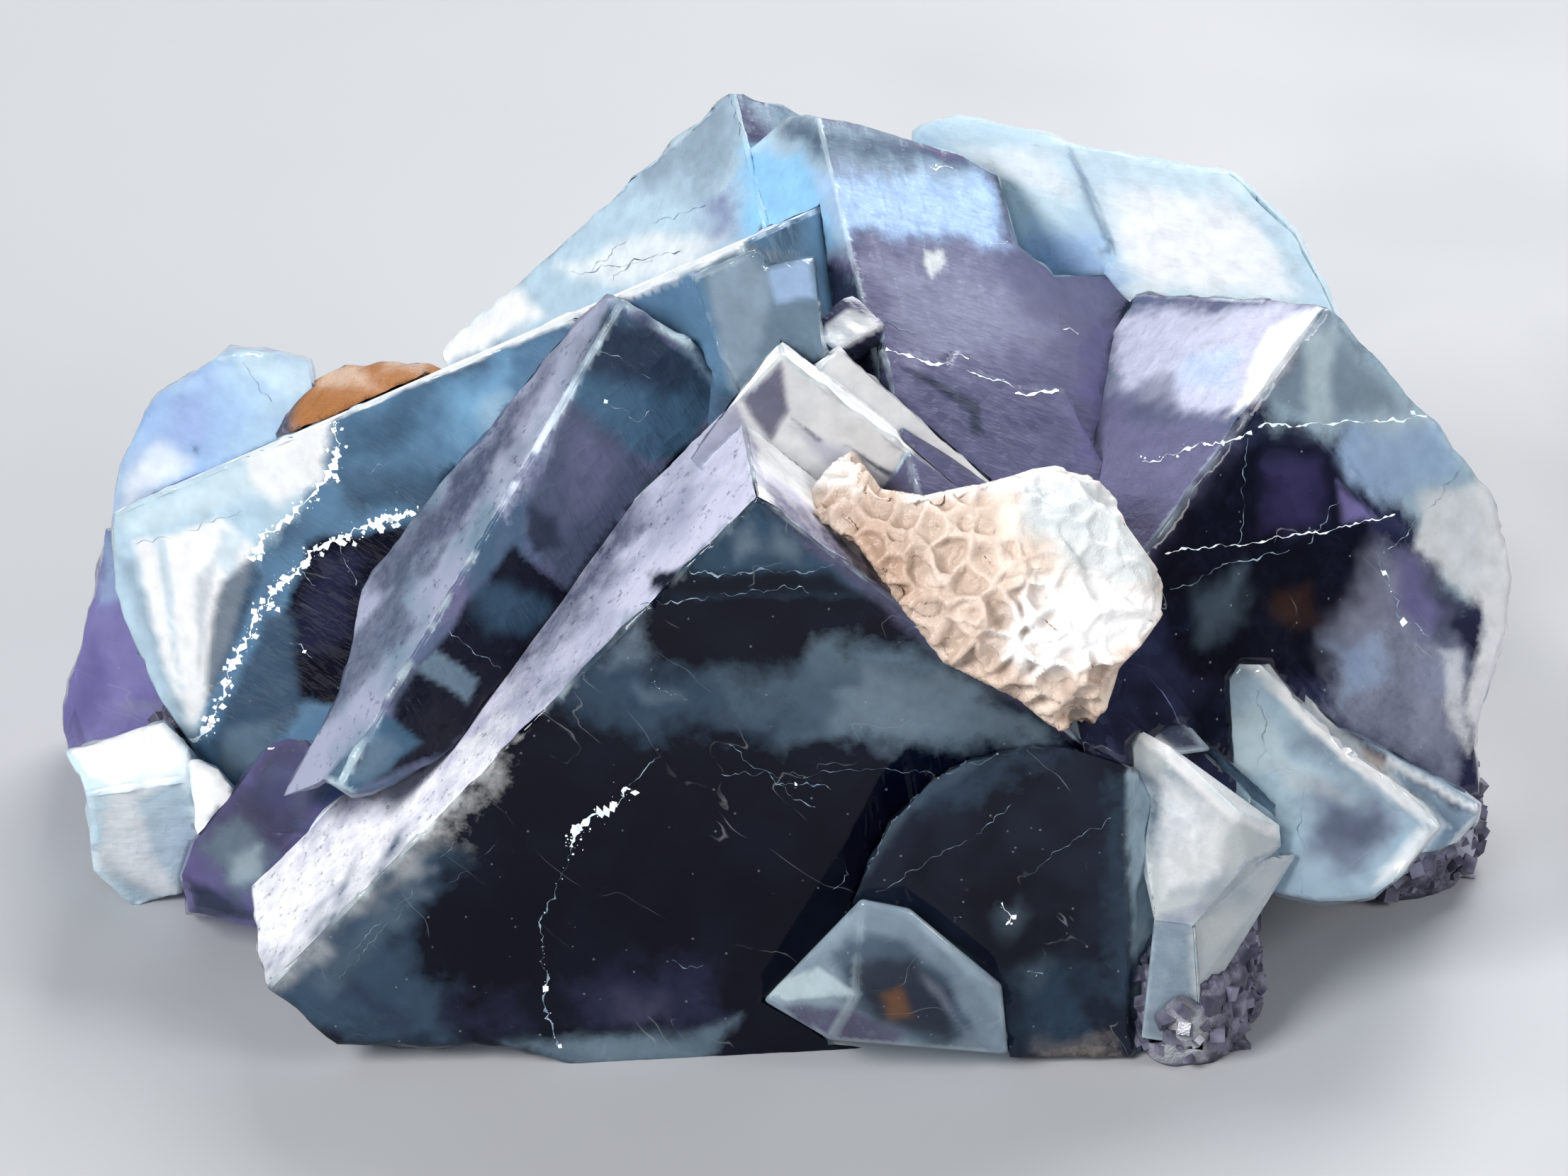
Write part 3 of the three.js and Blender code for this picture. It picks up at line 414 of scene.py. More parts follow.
        ("milk", 0.9, 1.2, [(14.6, 7.6), (21, 7.6), (24.8, -0.6), (19.6, 0.4), (15.4, 3.4)]),
        ("haze", 0.2, 0.6, [(15, 7), (20, 6.6), (20.6, 3.6), (16, 3.6)]),
        ("white", 0.85, 1.0, [(16, 1), (20, 0.6), (24.8, -1), (21.6, -4.4), (16, -5.6),
                              (13.4, -3.8)]),
        ("white", 0.8, 0.8, [(-1.6, 9), (4, 9), (5, 6.4), (-1, 6.4)]),
        ("white", 0.6, 0.6, [(8, 6.4), (18, 8.4), (18, 7.2), (8, 5.2)]),
        ("rust", 0.5, 0.9, [(17.4, -8.4), (20, -8), (19.4, -10.4), (18, -10)]),
        ("rust", 0.35, 1, [(4, 3.6), (6.6, 3.6), (9, -1), (7.4, -1.4)]),
    ],
    "matrix": [
        ("rust", 1.0, 0.5, [(-31.6, 10), (-31.2, 16), (-21, 18), (-20.6, 13)]),
        ("cream", 0.45, 0.5, [(-30, 14.4), (-27, 14.2), (-26.4, 13), (-30, 12.8)]),
        ("cream", 0.4, 0.5, [(-25.6, 15.4), (-22.6, 15.6), (-23, 14), (-25.6, 14)]),
        ("milk", 0.5, 1, [(24, -27), (27, -27), (27, -31), (23.6, -30.6)]),
        ("lilac", 0.8, 1, [(43, -15), (46, -15), (46.6, -19), (43.6, -19)]),
    ],
}

# White healed fractures, and painted highlights on the tops of growth steps: how wide, how
# crumbly, and the line on the show side.

FRACTURES_AND_STEP_HIGHLIGHTS = {
    "front_crystal": [
        (0.28, 0.2, [(-6.6, 1.2), (-4, 0.9), (-1, 1.1), (1.4, 1), (3.2, 1.6)]),
        (0.16, 0.3, [(-9.2, -1), (-6.4, -0.9), (-4.5, -0.5), (-2, -0.3), (0, 0.1), (1.6, -0.2)]),
        (0.1, 0.4, [(-7.6, -10.3), (-9, -11.8), (-10, -12.6)]),
        (0.6, 1, [(-10, -12.8), (-10.8, -14), (-12.2, -14.6), (-13.3, -15.4), (-13.6, -16.6)]),
        (0.16, 0.6, [(-13.6, -16.6), (-14, -18), (-14.8, -19.6), (-15.6, -21.4), (-15.5, -23)]),
        (0.2, 0.8, [(-15.5, -23), (-15.2, -25), (-15.3, -26.6), (-14.8, -28.4), (-14.6, -29.4)]),
        (0.1, 0.5, [(-3.5, -10), (-2.2, -11.2), (-0.5, -12.5), (0.8, -13.6), (2, -14)]),
        (0.12, 0.7, [(-0.6, -12.6), (1, -12.6), (3, -12.8)]),
        (0.07, 0.3, [(-21.4, -19), (-19.6, -17.4), (-18.6, -16.4)]),
        (0.06, 0.3, [(-28, -23.6), (-25, -20.6), (-22.4, -17.8), (-20.8, -15.8)]),
        (0.06, 0.3, [(-28.6, -25), (-26, -22.2), (-24.4, -20.6)]),
        (0.12, 0.7, [(-8.6, -6.2), (-7, -6.8), (-6.2, -7.2)]),
        (0.08, 0.5, [(-7.2, -23.8), (-6.2, -24.4), (-5.2, -24.2)]),
        (0.08, 0.4, [(3.4, -17.2), (4.2, -18.4), (3.2, -19.4)]),
        (0.07, 0.4, [(-4, -12), (1, -11.9), (6, -11.6), (9.6, -11.8)]),
    ],
    "front_right_crystal": [
        (0.14, 0.5, [(15, -10.4), (12, -11.2), (9.6, -12.4), (7, -15), (5.4, -18.1)]),
        (0.07, 0.3, [(6, -19.6), (9, -17.6), (12, -16), (15.4, -13.2)]),
        (0.06, 0.3, [(15.4, -18.6), (18, -16.6), (21, -14.8)]),
        (0.3, 0.5, [(13.9, -20.2), (14.4, -21), (14.2, -21.6)]),
        (0.25, 0.5, [(10.9, -21.4), (11.2, -21)]),
        (0.2, 0.5, [(15.6, -24.6), (16.6, -24.8)]),
    ],
    "middle_crystal": [
        (0.12, 0.3, [(-12.2, 15.4), (-10.6, 14.6), (-8.6, 13.4)]),
        (0.16, 0.5, [(-13, 13), (-11.4, 12), (-9.3, 10.7), (-8.6, 11.4), (-7.6, 12.2)]),
        (0.12, 0.2, [(-21.8, -2.6), (-20, -3.8), (-18.2, -5.2)]),
    ],
    "left_crystal": [
        (0.55, 0.9, [(-28.8, 10.6), (-28.6, 8.8), (-29.6, 6.6), (-31.5, 4.6), (-33.2, 3.4),
                     (-34.2, 1.8)]),
        (0.5, 1.0, [(-23.2, 4.7), (-25.7, 4.5), (-28.4, 3.2), (-30.2, 2.4), (-31.5, 0.7),
                    (-33.1, -0.7), (-34.8, -3.9), (-36.8, -8.7), (-37.9, -9.9)]),
        (0.1, 0.3, [(-29.4, 6.6), (-27, 7.4), (-24.6, 8.2)]),
        (0.12, 0.2, [(-41.6, 2.8), (-38.4, 3.6), (-34.8, 5)]),
        (0.12, 0.3, [(-28.6, 3), (-28, 1.6), (-27.4, 0.2)]),
        (0.12, 0.3, [(-32.4, 2), (-31, 1), (-30, 0.2)]),
        (0.1, 0.6, [(-31.6, -3.4), (-30.2, -4.4)]),
    ],
    "right_crystal": [
        (0.34, 0.3, [(30.4, 10.5), (33, 10.4), (35.4, 10.6), (38.2, 10.7), (41.2, 11)]),
        (0.3, 0.2, [(24.4, 2.4), (27, 2.6), (30, 2.9), (33, 3.4), (35.8, 3.9), (39.2, 4.6)]),
        (0.14, 0.5, [(24.8, -0.2), (27, 0.8), (29.2, 1.8), (32.4, 2.4)]),
        (0.12, 0.4, [(43.8, 8.2), (42, 6), (40.4, 4), (38.8, 2.4)]),
        (0.12, 0.4, [(29.7, 9.6), (29.5, 7), (29.4, 4.4), (29.2, 2.6)]),
        (0.1, 0.4, [(33.6, 2.8), (34.6, 4.4), (35.6, 5.6)]),
        (0.3, 0.6, [(23, 8), (24.8, 8.4), (27, 9.2), (28.8, 9.6), (30, 9.9)]),
        (0.16, 0.7, [(38.2, 1.8), (39, -0.2), (39.4, -1.8), (41.4, -3)]),
    ],
    "right_low_crystal": [
        (0.1, 0.3, [(33.2, -12), (33.1, -15), (33.2, -19.8)]),
        (0.14, 0.4, [(30.2, -6.6), (31, -9), (30.4, -11.4)]),
        (0.2, 0.3, [(31.5, -11.9), (32.6, -11.8)]),
    ],
    "rear_crystal": [
        (0.1, 0.3, [(-13.6, 20.2), (-10.6, 20.6), (-8.4, 21)]),
        (0.1, 0.3, [(-12.4, 20.4), (-10.4, 22), (-8, 23.6), (-5, 24.6)]),
        (0.14, 0.4, [(-11, 19.8), (-9.6, 21), (-6.6, 21.6)]),
        (0.12, 0.3, [(-3.4, 31.3), (-2.7, 29)]),
        # The next five lines are painted highlights on the tops of growth steps, not fractures.
        (0.7, 0.05, [(6.5, 15.3), (8.4, 14.7), (10.5, 14.2)]),
        (0.9, 0.1, [(10.8, 14.8), (11.8, 14.9)]),
        (0.6, 0.05, [(11.7, 13.9), (13.4, 13.3), (14.8, 12.9)]),
        (0.7, 0.1, [(14.8, 12.4), (16, 12.5), (17.6, 12.7)]),
        (0.16, 0.1, [(6.3, 17), (8.8, 16.3)]),
        (0.4, 0.3, [(9.3, 27), (10.8, 27)]),
        (0.4, 0.3, [(13.2, 22.1), (14.3, 22.1)]),
        (0.3, 0.1, [(17.9, 16.7), (18.9, 16.5)]),
        (0.25, 0.2, [(20.4, 14.9), (20.9, 14.4)]),
        (0.4, 0.4, [(22.6, 11.6), (23.4, 11)]),
    ],
    "left_rear_crystal": [
        (0.14, 0.4, [(-34.6, 14.6), (-34, 13.2), (-32.8, 12)]),
    ],
}


def length_value(name, text, millimetres):
    """A length that the panel shows."""
    return bpy.props.FloatProperty(
        name=name, description=text, default=millimetres * MM, min=0, unit="LENGTH", precision=5,
    )


def amount_value(name, text, default):
    """A plain number that the panel shows."""
    return bpy.props.FloatProperty(name=name, description=text, default=default, min=0)


def colour_value(name, code):
    """A colour that the panel shows."""
    title = name.replace("_", " ").capitalize()
    return bpy.props.FloatVectorProperty(
        name=title, description=f"{title}, in the zones and finishes", default=tuple(linear(code)),
        size=3, min=0, max=1, subtype="COLOR",
    )


class ClusterSettings(bpy.types.PropertyGroup):
    """Sizes and values that a user would change."""

    edge_round: length_value("Edge round", "Rounding of the crystal edges", 0.16)
    detail: length_value("Zone detail", "Longest edge of a face that shows zones", 0.55)
    coarse: length_value("Rear detail", "Longest edge of a face that is turned away", 1.3)
    meet: length_value("Contact", "How far each crystal grows to meet its neighbours", 0.17)
    fracture_depth: length_value("Broken relief", "Relief of the broken faces", 0.35)
    # The bright rims are a painted highlight on the rounded crystal edges.
    rim: amount_value("Bright rims", "How bright the worn crystal edges are", 1.0)
    ior: amount_value("IOR", "Refraction of fluorite", 1.434)
    gain: amount_value("Zone gain", "Brightness of the painted zones", 1.0)
    druse_spacing: length_value("Druse spacing", "Distance between druse grains", 1.0)
    druse_size: length_value("Druse size", "Largest druse grain", 1.1)


class ClusterColours(bpy.types.PropertyGroup):
    """Colours that a user would change."""

    __annotations__ = {name: colour_value(name, code) for name, code in PALETTE.items()}


def settings():
    """The cluster's settings in the open scene."""
    return bpy.context.scene.fluorite_cluster


def tint(name):
    """A colour of the open scene, as a node takes it."""
    return [*getattr(bpy.context.scene.fluorite_colours, name), 1]


# Node helpers


def link(tree, out, into):
    """Joins two sockets."""
    tree.links.new(out, into)


def node(tree, kind, inputs=(), **values):
    """A new node with its properties, and its inputs given as socket name or number."""
    made = tree.nodes.new(kind)
    for name, value in values.items():
        setattr(made, name, value)
    for name, value in dict(inputs).items():
        if isinstance(value, bpy.types.NodeSocket):
            link(tree, value, made.inputs[name])
        else:
            made.inputs[name].default_value = value
    return made


def maths(tree, operation, *values):
    """The result of a Math node."""
    return node(tree, "ShaderNodeMath", enumerate(values), operation=operation).outputs[0]


def mixed(tree, share, first, second):
    """A colour mix."""
    return node(tree, "ShaderNodeMix", {0: share, 6: first, 7: second},
                data_type="RGBA").outputs[2]


def ranged(tree, value, low, high, start=0.0, end=1.0):
    """A value carried from low and high to start and end, kept between them."""
    return node(tree, "ShaderNodeMapRange", enumerate([value, low, high, start, end])).outputs[0]


def grain(tree, place, scale, detail, rough=0.5):
    """A field of fine noise between 0 and 1."""
    return node(tree, "ShaderNodeTexNoise", {
        "Vector": place, "Scale": scale, "Detail": detail, "Roughness": rough,
    }).outputs[0]


def stretched(tree, place, scale, turn=(0, 0, 0)):
    """A place turned and stretched."""
    return node(tree, "ShaderNodeMapping", {
        "Vector": place, "Rotation": turn, "Scale": scale,
    }).outputs[0]


# Shader groups, each with one value out


def new_group(name, inputs, output):
    """A group of named inputs; returns its tree, what it is given and what it puts out."""
    tree = bpy.data.node_groups.new(name, "ShaderNodeTree")
    for label, default in {"Vector": (0, 0, 0), **inputs}.items():
        kind = "NodeSocketFloat" if isinstance(default, float) else "NodeSocketVector"
        socket = tree.interface.new_socket(label, in_out="INPUT", socket_type=kind)
        socket.default_value = default
    tree.interface.new_socket(output, in_out="OUTPUT", socket_type="NodeSocketFloat")
    given, result = tree.nodes.new("NodeGroupInput"), tree.nodes.new("NodeGroupOutput")
    return tree, given.outputs, result.inputs[output]


def clouds_group():
    """Soft clouds of colour inside a crystal."""
    tree, given, mask = new_group("Clouds", {"Size": 4.0, "Low": 0.4, "High": 0.65}, "Mask")
    scale = maths(tree, "DIVIDE", 1.0, given["Size"])
    field = grain(tree, given["Vector"], scale, 2.0, 0.6)
    link(tree, ranged(tree, field, given["Low"], given["High"]), mask)


def growth_group():
    """Square growth steps and fine lines along the cube's edges, as a height."""
    tree, given, height = new_group("Growth steps", {"Size": 2.0, "Lines": 0.5}, "Height")
    scale = maths(tree, "DIVIDE", 1.0, given["Size"])
    steps = node(tree, "ShaderNodeTexVoronoi", {
        "Vector": given["Vector"], "Scale": scale, "Randomness": 0.75,
    }, distance="CHEBYCHEV")
    along = stretched(tree, given["Vector"], (0.5, 1.6, 1.6))
    lines = maths(tree, "MULTIPLY", grain(tree, along, 1.2, 2.0, 0.7), given["Lines"])
    link(tree, maths(tree, "ADD", steps.outputs["Distance"], lines), height)


def streaks_group():
    """Thin streaks that run along one edge of the cube."""
    tree, given, mask = new_group(
        "Streaks", {"Stretch": (0.12, 1.6, 1.6), "Low": 0.58, "High": 0.7}, "Mask",
    )
    along = stretched(tree, given["Vector"], given["Stretch"])
    field = grain(tree, along, 0.9, 4.0, 0.7)
    link(tree, ranged(tree, field, given["Low"], given["High"]), mask)


def hairline_group():
    """Fine healed cracks, long and curved and often broken off, with small flecks."""
    tree, given, mask = new_group(
        "Hairlines", {"Size": 6.0, "Width": 0.0022, "Amount": 0.5}, "Mask",
    )
    aslant = stretched(tree, given["Vector"], (0.35, 1.0, 1.6), (0.5, 0.9, 0.3))
    scale = maths(tree, "DIVIDE", 1.0, given["Size"])
    field = grain(tree, aslant, scale, 4.0, 0.35)
    level = maths(tree, "ABSOLUTE", maths(tree, "SUBTRACT", field, 0.5))
    line = ranged(tree, level, given["Width"], 0.0)
    shown = ranged(tree, grain(tree, given["Vector"], 0.28, 2.0), 0.5, 0.62)
    dots = node(tree, "ShaderNodeTexVoronoi", {"Vector": given["Vector"], "Scale": 0.8})
    fleck = ranged(tree, dots.outputs["Distance"], 0.085, 0.04)
    both = maths(tree, "MAXIMUM", maths(tree, "MULTIPLY", line, shown), fleck)
    link(tree, maths(tree, "MULTIPLY", both, given["Amount"]), mask)


GROUP_MAKERS = {
    "Clouds": clouds_group,
    "Growth steps": growth_group,
    "Streaks": streaks_group,
    "Hairlines": hairline_group,
}


def grouped(tree, name, inputs):
    """One of the groups, placed with its own values."""
    if name not in bpy.data.node_groups:
        GROUP_MAKERS[name]()
    group = bpy.data.node_groups[name]
    return node(tree, "ShaderNodeGroup", inputs, node_tree=group).outputs[0]


class Finish(NamedTuple):
    """A fluorite finish: its two colours, how rough and clear it is, and its fine marks."""

    base: str
    cloud: str
    rough: float
    clear: float = 0.0
    steps: float = 0.0
    hair: float = 0.0
    shine: float = 0.5
    streaks: float = 0.0


FINISHES = {
    "clear_navy": Finish("navy", "night", 0.06, clear=0.5, hair=0.3, shine=0.05),
    "clear_ink": Finish("ink", "navy", 0.06, clear=0.5, hair=0.35, shine=0.08),
    "clear_teal": Finish("blue", "slate", 0.14, clear=0.3, steps=0.35, hair=0.15, shine=0.35),
    "clear_pale": Finish("haze", "pale_teal", 0.06, clear=0.5, hair=0.3),
    "clear_blue": Finish("periwinkle", "mint", 0.12, clear=0.5, steps=0.25, hair=0.2),
    "clear_purple": Finish("violet", "mauve", 0.1, clear=0.6, hair=0.2),
    "clear_dusk": Finish("indigo", "navy", 0.07, clear=0.5, hair=0.5, shine=0.3),
    "etched_plum": Finish("mauve", "dusk", 0.34, steps=1.0, shine=0.3),
    "etched_blue": Finish("pale_teal", "haze", 0.24, clear=0.2, steps=0.5, hair=0.2),
    "etched_mint": Finish("mint", "pale_teal", 0.28, clear=0.2, steps=0.4, hair=0.1),
    "etched_mauve": Finish("mauve", "slate", 0.3, steps=0.9, shine=0.3),
    "frosted_lilac": Finish("lilac", "pearl", 0.45, steps=0.5, streaks=0.7),
    "frosted_pearl": Finish("pearl", "fog", 0.4, steps=0.6, streaks=0.7),
    "frosted_white": Finish("white", "lilac", 0.4, steps=0.6, streaks=0.35),
    "milky": Finish("milk", "haze", 0.25, clear=0.4, steps=0.3),
}

# For each crystal: the finish of the faces across its first, second and third edge, then
# of its broken faces. One without edges of its own shows the first finish alone.

DRESSES = {
    "front_crystal": ["frosted_white", "frosted_lilac", "clear_navy", "clear_navy"],
    "front_right_crystal": ["clear_ink"] * 4,
    "middle_crystal": ["etched_mauve", "frosted_pearl", "etched_mauve", "etched_mauve"],
    "left_crystal": ["clear_teal", "frosted_white", "clear_teal", "clear_teal"],
    "rear_crystal": ["etched_blue", "etched_blue", "etched_plum", "etched_blue"],
    "rear_right_crystal": ["etched_mint"] * 4,
    "right_crystal": ["clear_pale", "etched_mauve", "clear_dusk", "clear_dusk"],
    "right_low_crystal": ["clear_pale"] * 4,
    "left_rear_crystal": ["clear_blue"] * 4,
    "left_purple_crystal": ["clear_purple"] * 4,
    "left_low_crystal": ["etched_mint"] * 4,
    "left_small_crystal": ["clear_purple"] * 4,
    "low_front_crystal": ["clear_pale"] * 4,
    "pale_blades": ["milky"] * 4,
}
SIDES = ("side", "edge", "face", "broken")
BROKEN = SIDES.index("broken")


def blank_material(name, axes=None):
    """A new material; gives also its nodes and the place in millimetres, on its own axes."""
    material = bpy.data.materials.new(name)
    material.use_nodes = True
    tree = material.node_tree
    tree.nodes.clear()
    turn = Matrix([axis.normalized() for axis in axes]).to_euler() if axes else (0, 0, 0)
    place = node(tree, "ShaderNodeTexCoord").outputs["Object"]
    return material, tree, stretched(tree, place, (1 / MM,) * 3, turn)


def over_zones_and_light(tree, own, colour, mottle):
    """A colour with the painted zones, painted shade and painted highlights on it: mottled, and
    grainy at their borders.
    """
    gain = settings().gain
    vertex_paint = node(tree, "ShaderNodeAttribute", attribute_name="vertex_paint")
    bright = ranged(tree, mottle, 0.0, 1.0, 0.86 * gain, 1.1 * gain)
    painted = node(tree, "ShaderNodeVectorMath", {0: vertex_paint.outputs["Color"], 3: bright},
                   operation="SCALE")
    uneven = maths(tree, "SUBTRACT", grain(tree, own, 1.1, 3.0, 0.75), 0.5)
    border = maths(tree, "MULTIPLY_ADD", uneven, 0.7, vertex_paint.outputs["Alpha"])
    return mixed(tree, ranged(tree, border, 0.12, 0.88), colour, painted.outputs[0])


def crystal_material(name, finish, axes):
    """A zoned fluorite finish, with its texture lying along the crystal's own edges."""
    look = FINISHES[finish]
    material, tree, own = blank_material(name, axes)
    haze = grouped(tree, "Clouds", {"Vector": own, "Size": 6.0, "Low": 0.42, "High": 0.7})
    mottle = grouped(tree, "Clouds", {"Vector": own, "Size": 1.5, "Low": 0.25, "High": 0.75})
    colour = mixed(tree, haze, tint(look.base), tint(look.cloud))
    colour = over_zones_and_light(tree, own, colour, mottle)
    if look.streaks:
        streaks = grouped(tree, "Streaks", {"Vector": own})
        dark = maths(tree, "MULTIPLY", streaks, look.streaks)
        colour = mixed(tree, dark, colour, tint("indigo"))
    if look.hair:
        hair = grouped(tree, "Hairlines", {"Vector": own, "Amount": look.hair})
        colour = mixed(tree, hair, colour, tint("milk"))
    surface = node(tree, "ShaderNodeBsdfPrincipled", {
        "Base Color": colour, "IOR": settings().ior, "Transmission Weight": look.clear,
        "Roughness": ranged(tree, mottle, 0.0, 1.0, look.rough * 0.8, look.rough * 1.3),
        "Specular IOR Level": look.shine,
    })
    if look.steps:
        height = grouped(tree, "Growth steps", {"Vector": own, "Size": 1.7})
        raised(tree, surface, height, look.steps, 0.18)
    show(tree, surface, look.clear)
    return material


def plain_material(name, first, second, size, rough, bumpy, zoned=False):
    """A finish of two mottled colours with a fine grain."""
    material, tree, own = blank_material(name)
    mask = grouped(tree, "Clouds", {"Vector": own, "Size": size})
    colour = mixed(tree, mask, tint(first), tint(second))
    if zoned:
        vertex_paint = node(tree, "ShaderNodeAttribute", attribute_name="vertex_paint")
        colour = mixed(tree, vertex_paint.outputs["Alpha"], colour, vertex_paint.outputs["Color"])
    surface = node(tree, "ShaderNodeBsdfPrincipled", {
        "Base Color": colour, "IOR": 1.5,
        "Roughness": ranged(tree, mask, 0.0, 1.0, rough * 0.8, rough * 1.2),
    })
    raised(tree, surface, grain(tree, own, 2.0, 4.0, 0.7), bumpy, 0.4)
    show(tree, surface)
    return material


def raised(tree, surface, height, strength, reach):
    """Gives a surface its fine relief, of a reach in millimetres."""
    bump = node(tree, "ShaderNodeBump", {
        "Height": height, "Strength": strength, "Distance": reach * MM,
    })
    link(tree, bump.outputs[0], surface.inputs["Normal"])


def show(tree, surface, clear=0.0):
    """Shows a surface. A clear one lets some light through, so it throws no hard shadow."""
    shader = surface.outputs[0]
    if clear:
        ray = node(tree, "ShaderNodeLightPath")
        through = node(tree, "ShaderNodeBsdfTransparent", {
            "Color": (0.7 * clear, 0.75 * clear, 0.8 * clear, 1),
        })
        shader = node(tree, "ShaderNodeMixShader", {
            0: ray.outputs["Is Shadow Ray"], 1: shader, 2: through.outputs[0],
        }).outputs[0]
    link(tree, shader, node(tree, "ShaderNodeOutputMaterial").inputs["Surface"])


# Mesh helpers. Corners closer than the weld, in metres, are one, and faces that meet
# within the flat angle are one face.

WELD = 2e-6
FLAT = math.radians(0.7)


def merged_copy(name):
    """A closed mesh of a node's shape, its triangles joined and flat faces whole."""
    mesh = bmesh.new()
    mesh.from_mesh(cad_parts[name].data)
    bmesh.ops.remove_doubles(mesh, verts=mesh.verts, dist=WELD)
    bmesh.ops.dissolve_limit(mesh, angle_limit=FLAT, verts=mesh.verts, edges=mesh.edges)
    mesh.normal_update()
    return mesh


def finer(mesh, longest):
    """Splits edges until none is longer than the length that longest gives for it."""
    bmesh.ops.triangulate(mesh, faces=mesh.faces)
    for _ in range(12):
        edges = [edge for edge in mesh.edges if edge.calc_length() > longest(edge)]
        if not edges:
            break
        bmesh.ops.subdivide_edges(mesh, edges=edges, cuts=1, use_single_edge=True)
        bmesh.ops.triangulate(mesh, faces=[face for face in mesh.faces if len(face.verts) > 3])
    mesh.normal_update()


def relief(place, coarse, fine):
    """Uneven relief at a place: broad bumps with finer ones on them."""
    return noise.noise(place / (coarse * MM)) + 0.5 * noise.noise(place / (fine * MM))


def new_object(name, mesh, materials):
    """A piece of the model from a bmesh, at the origin."""
    data = bpy.data.meshes.new(name)
    mesh.to_mesh(data)
    mesh.free()
    for material in materials:
        data.materials.append(material)
    piece = bpy.data.objects.new(name, data)
    bpy.context.scene.collection.objects.link(piece)
    return piece


def shade(piece, angle=28):
    """Smooth shading, with edges sharp from an angle on."""
    piece.data.shade_smooth()
    piece.data.set_sharp_from_angle(angle=math.radians(angle))


def distance_to_line(points, line):
    """How far each point lies from a line of points."""
    best = np.full(len(points), np.inf)
    for start, end in zip(line[:-1], line[1:]):
        start, way = np.array(start), np.subtract(end, start)
        share = np.clip((points - start) @ way / max(way @ way, 1e-9), 0, 1)
        best = np.minimum(best, np.linalg.norm(points - start - share[:, None] * way, axis=1))
    return best


def within(points, outline):
    """True for each point inside an outline."""
    inside = np.zeros(len(points), bool)
    for (u0, v0), (u1, v1) in zip(outline, [*outline[1:], outline[0]]):
        if v0 == v1:
            continue
        crossed = (points[:, 1] < v0) != (points[:, 1] < v1)
        at = u0 + (points[:, 1] - v0) * (u1 - u0) / (v1 - v0)
        inside ^= crossed & (points[:, 0] < at)
    return inside


def vertex_rows(data, name):
    """The place or normal of each vertex, one row for each."""
    values = np.empty(len(data.vertices) * 3)
    data.vertices.foreach_get(name, values)
    return values.reshape(-1, 3)


def zone_share(points, soft, outline):
    """How far each point lies in a zone, from 0 outside it to 1, with a soft border."""
    edge = distance_to_line(points, [*outline, outline[0]])
    depth = np.where(within(points, outline), edge, -edge)
    share = np.clip(0.5 + depth / (2 * soft), 0, 1)
    return share * share * (3 - 2 * share)


def paint_zones_and_light(piece, layers, rim=0.0, pits=None):
    """Colours the zones of a piece, layer by layer, into its colour attribute.

    They lie in the crystal's whole body, so the faces turned away show them too, fainter.
    rim lays a painted highlight on the rounded edges, and pits darkens the hollows.
    """
    data = piece.data
    count = len(data.vertices)
    places = vertex_rows(data, "co")
    points = shown_at(places)
    facing = vertex_rows(data, "normal") @ np.array(TO_EYE)
    reached = np.clip(facing * 8, 0, 1) + 0.7 * np.clip(-facing * 4 - 0.4, 0, 1)
    warp = np.array([
        noise.noise_vector(place / (2.4 * MM)) + 0.5 * noise.noise_vector(place / (0.9 * MM))
        for place in map(Vector, places)
    ])[:, :2]
    colours = np.zeros((count, 4))
    for name, strength, soft, outline in layers:
        share = zone_share(points + warp * soft * 0.8, soft, outline) * strength * reached
        covered = colours[:, 3]
        alpha = covered + share - covered * share
        keep = np.divide(covered * (1 - share), alpha, out=np.zeros(count), where=alpha > 1e-6)
        fresh = np.array(tint(name)[:3])
        colours[:, :3] = colours[:, :3] * keep[:, None] + fresh * (1 - keep)[:, None]
        colours[:, 3] = alpha
    # Painted highlight: the rounded edges are lightened towards mint.
    if rim:
        near_edge = np.empty(count)
        data.attributes["rim"].data.foreach_get("value", near_edge)
        painted_edge_highlight = np.clip(0.55 + warp[:, 1] * 1.2, 0, 1) * near_edge * rim
        fresh = colours[:, :3] * 0.55 + np.array(tint("mint")[:3]) * 0.45
        colours[:, :3] += (fresh - colours[:, :3]) * painted_edge_highlight[:, None]
        colours[:, 3] = np.maximum(colours[:, 3], painted_edge_highlight)
    if pits is not None:
        deep = 0.6 * np.clip(pits, 0, 1)[:, None]
        colours[:, :3] += (np.array(tint("tan")[:3]) - colours[:, :3]) * deep
    attribute = data.color_attributes.new("vertex_paint", "FLOAT_COLOR", "POINT")
    attribute.data.foreach_set("color", colours.ravel())


def finish_piece(piece, name):
    """Puts the piece on the cluster in place of its node."""
    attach(piece, BODY)
    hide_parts(name)


# Crystals. A face lies across an edge when their directions agree this well, an edge is
# rounded from this angle on, and a face turned this much to the eye shows its zones.

SAME_WAY = 0.998
SHARP = math.radians(25)
TOWARDS_EYE = 0.2


def side_of(face, axes):
    """Which of a crystal's three ways a face lies across, or that it is broken."""
    for i, axis in enumerate(axes):
        if abs(face.normal.dot(axis)) > SAME_WAY:
            return i
    return BROKEN if axes else 0


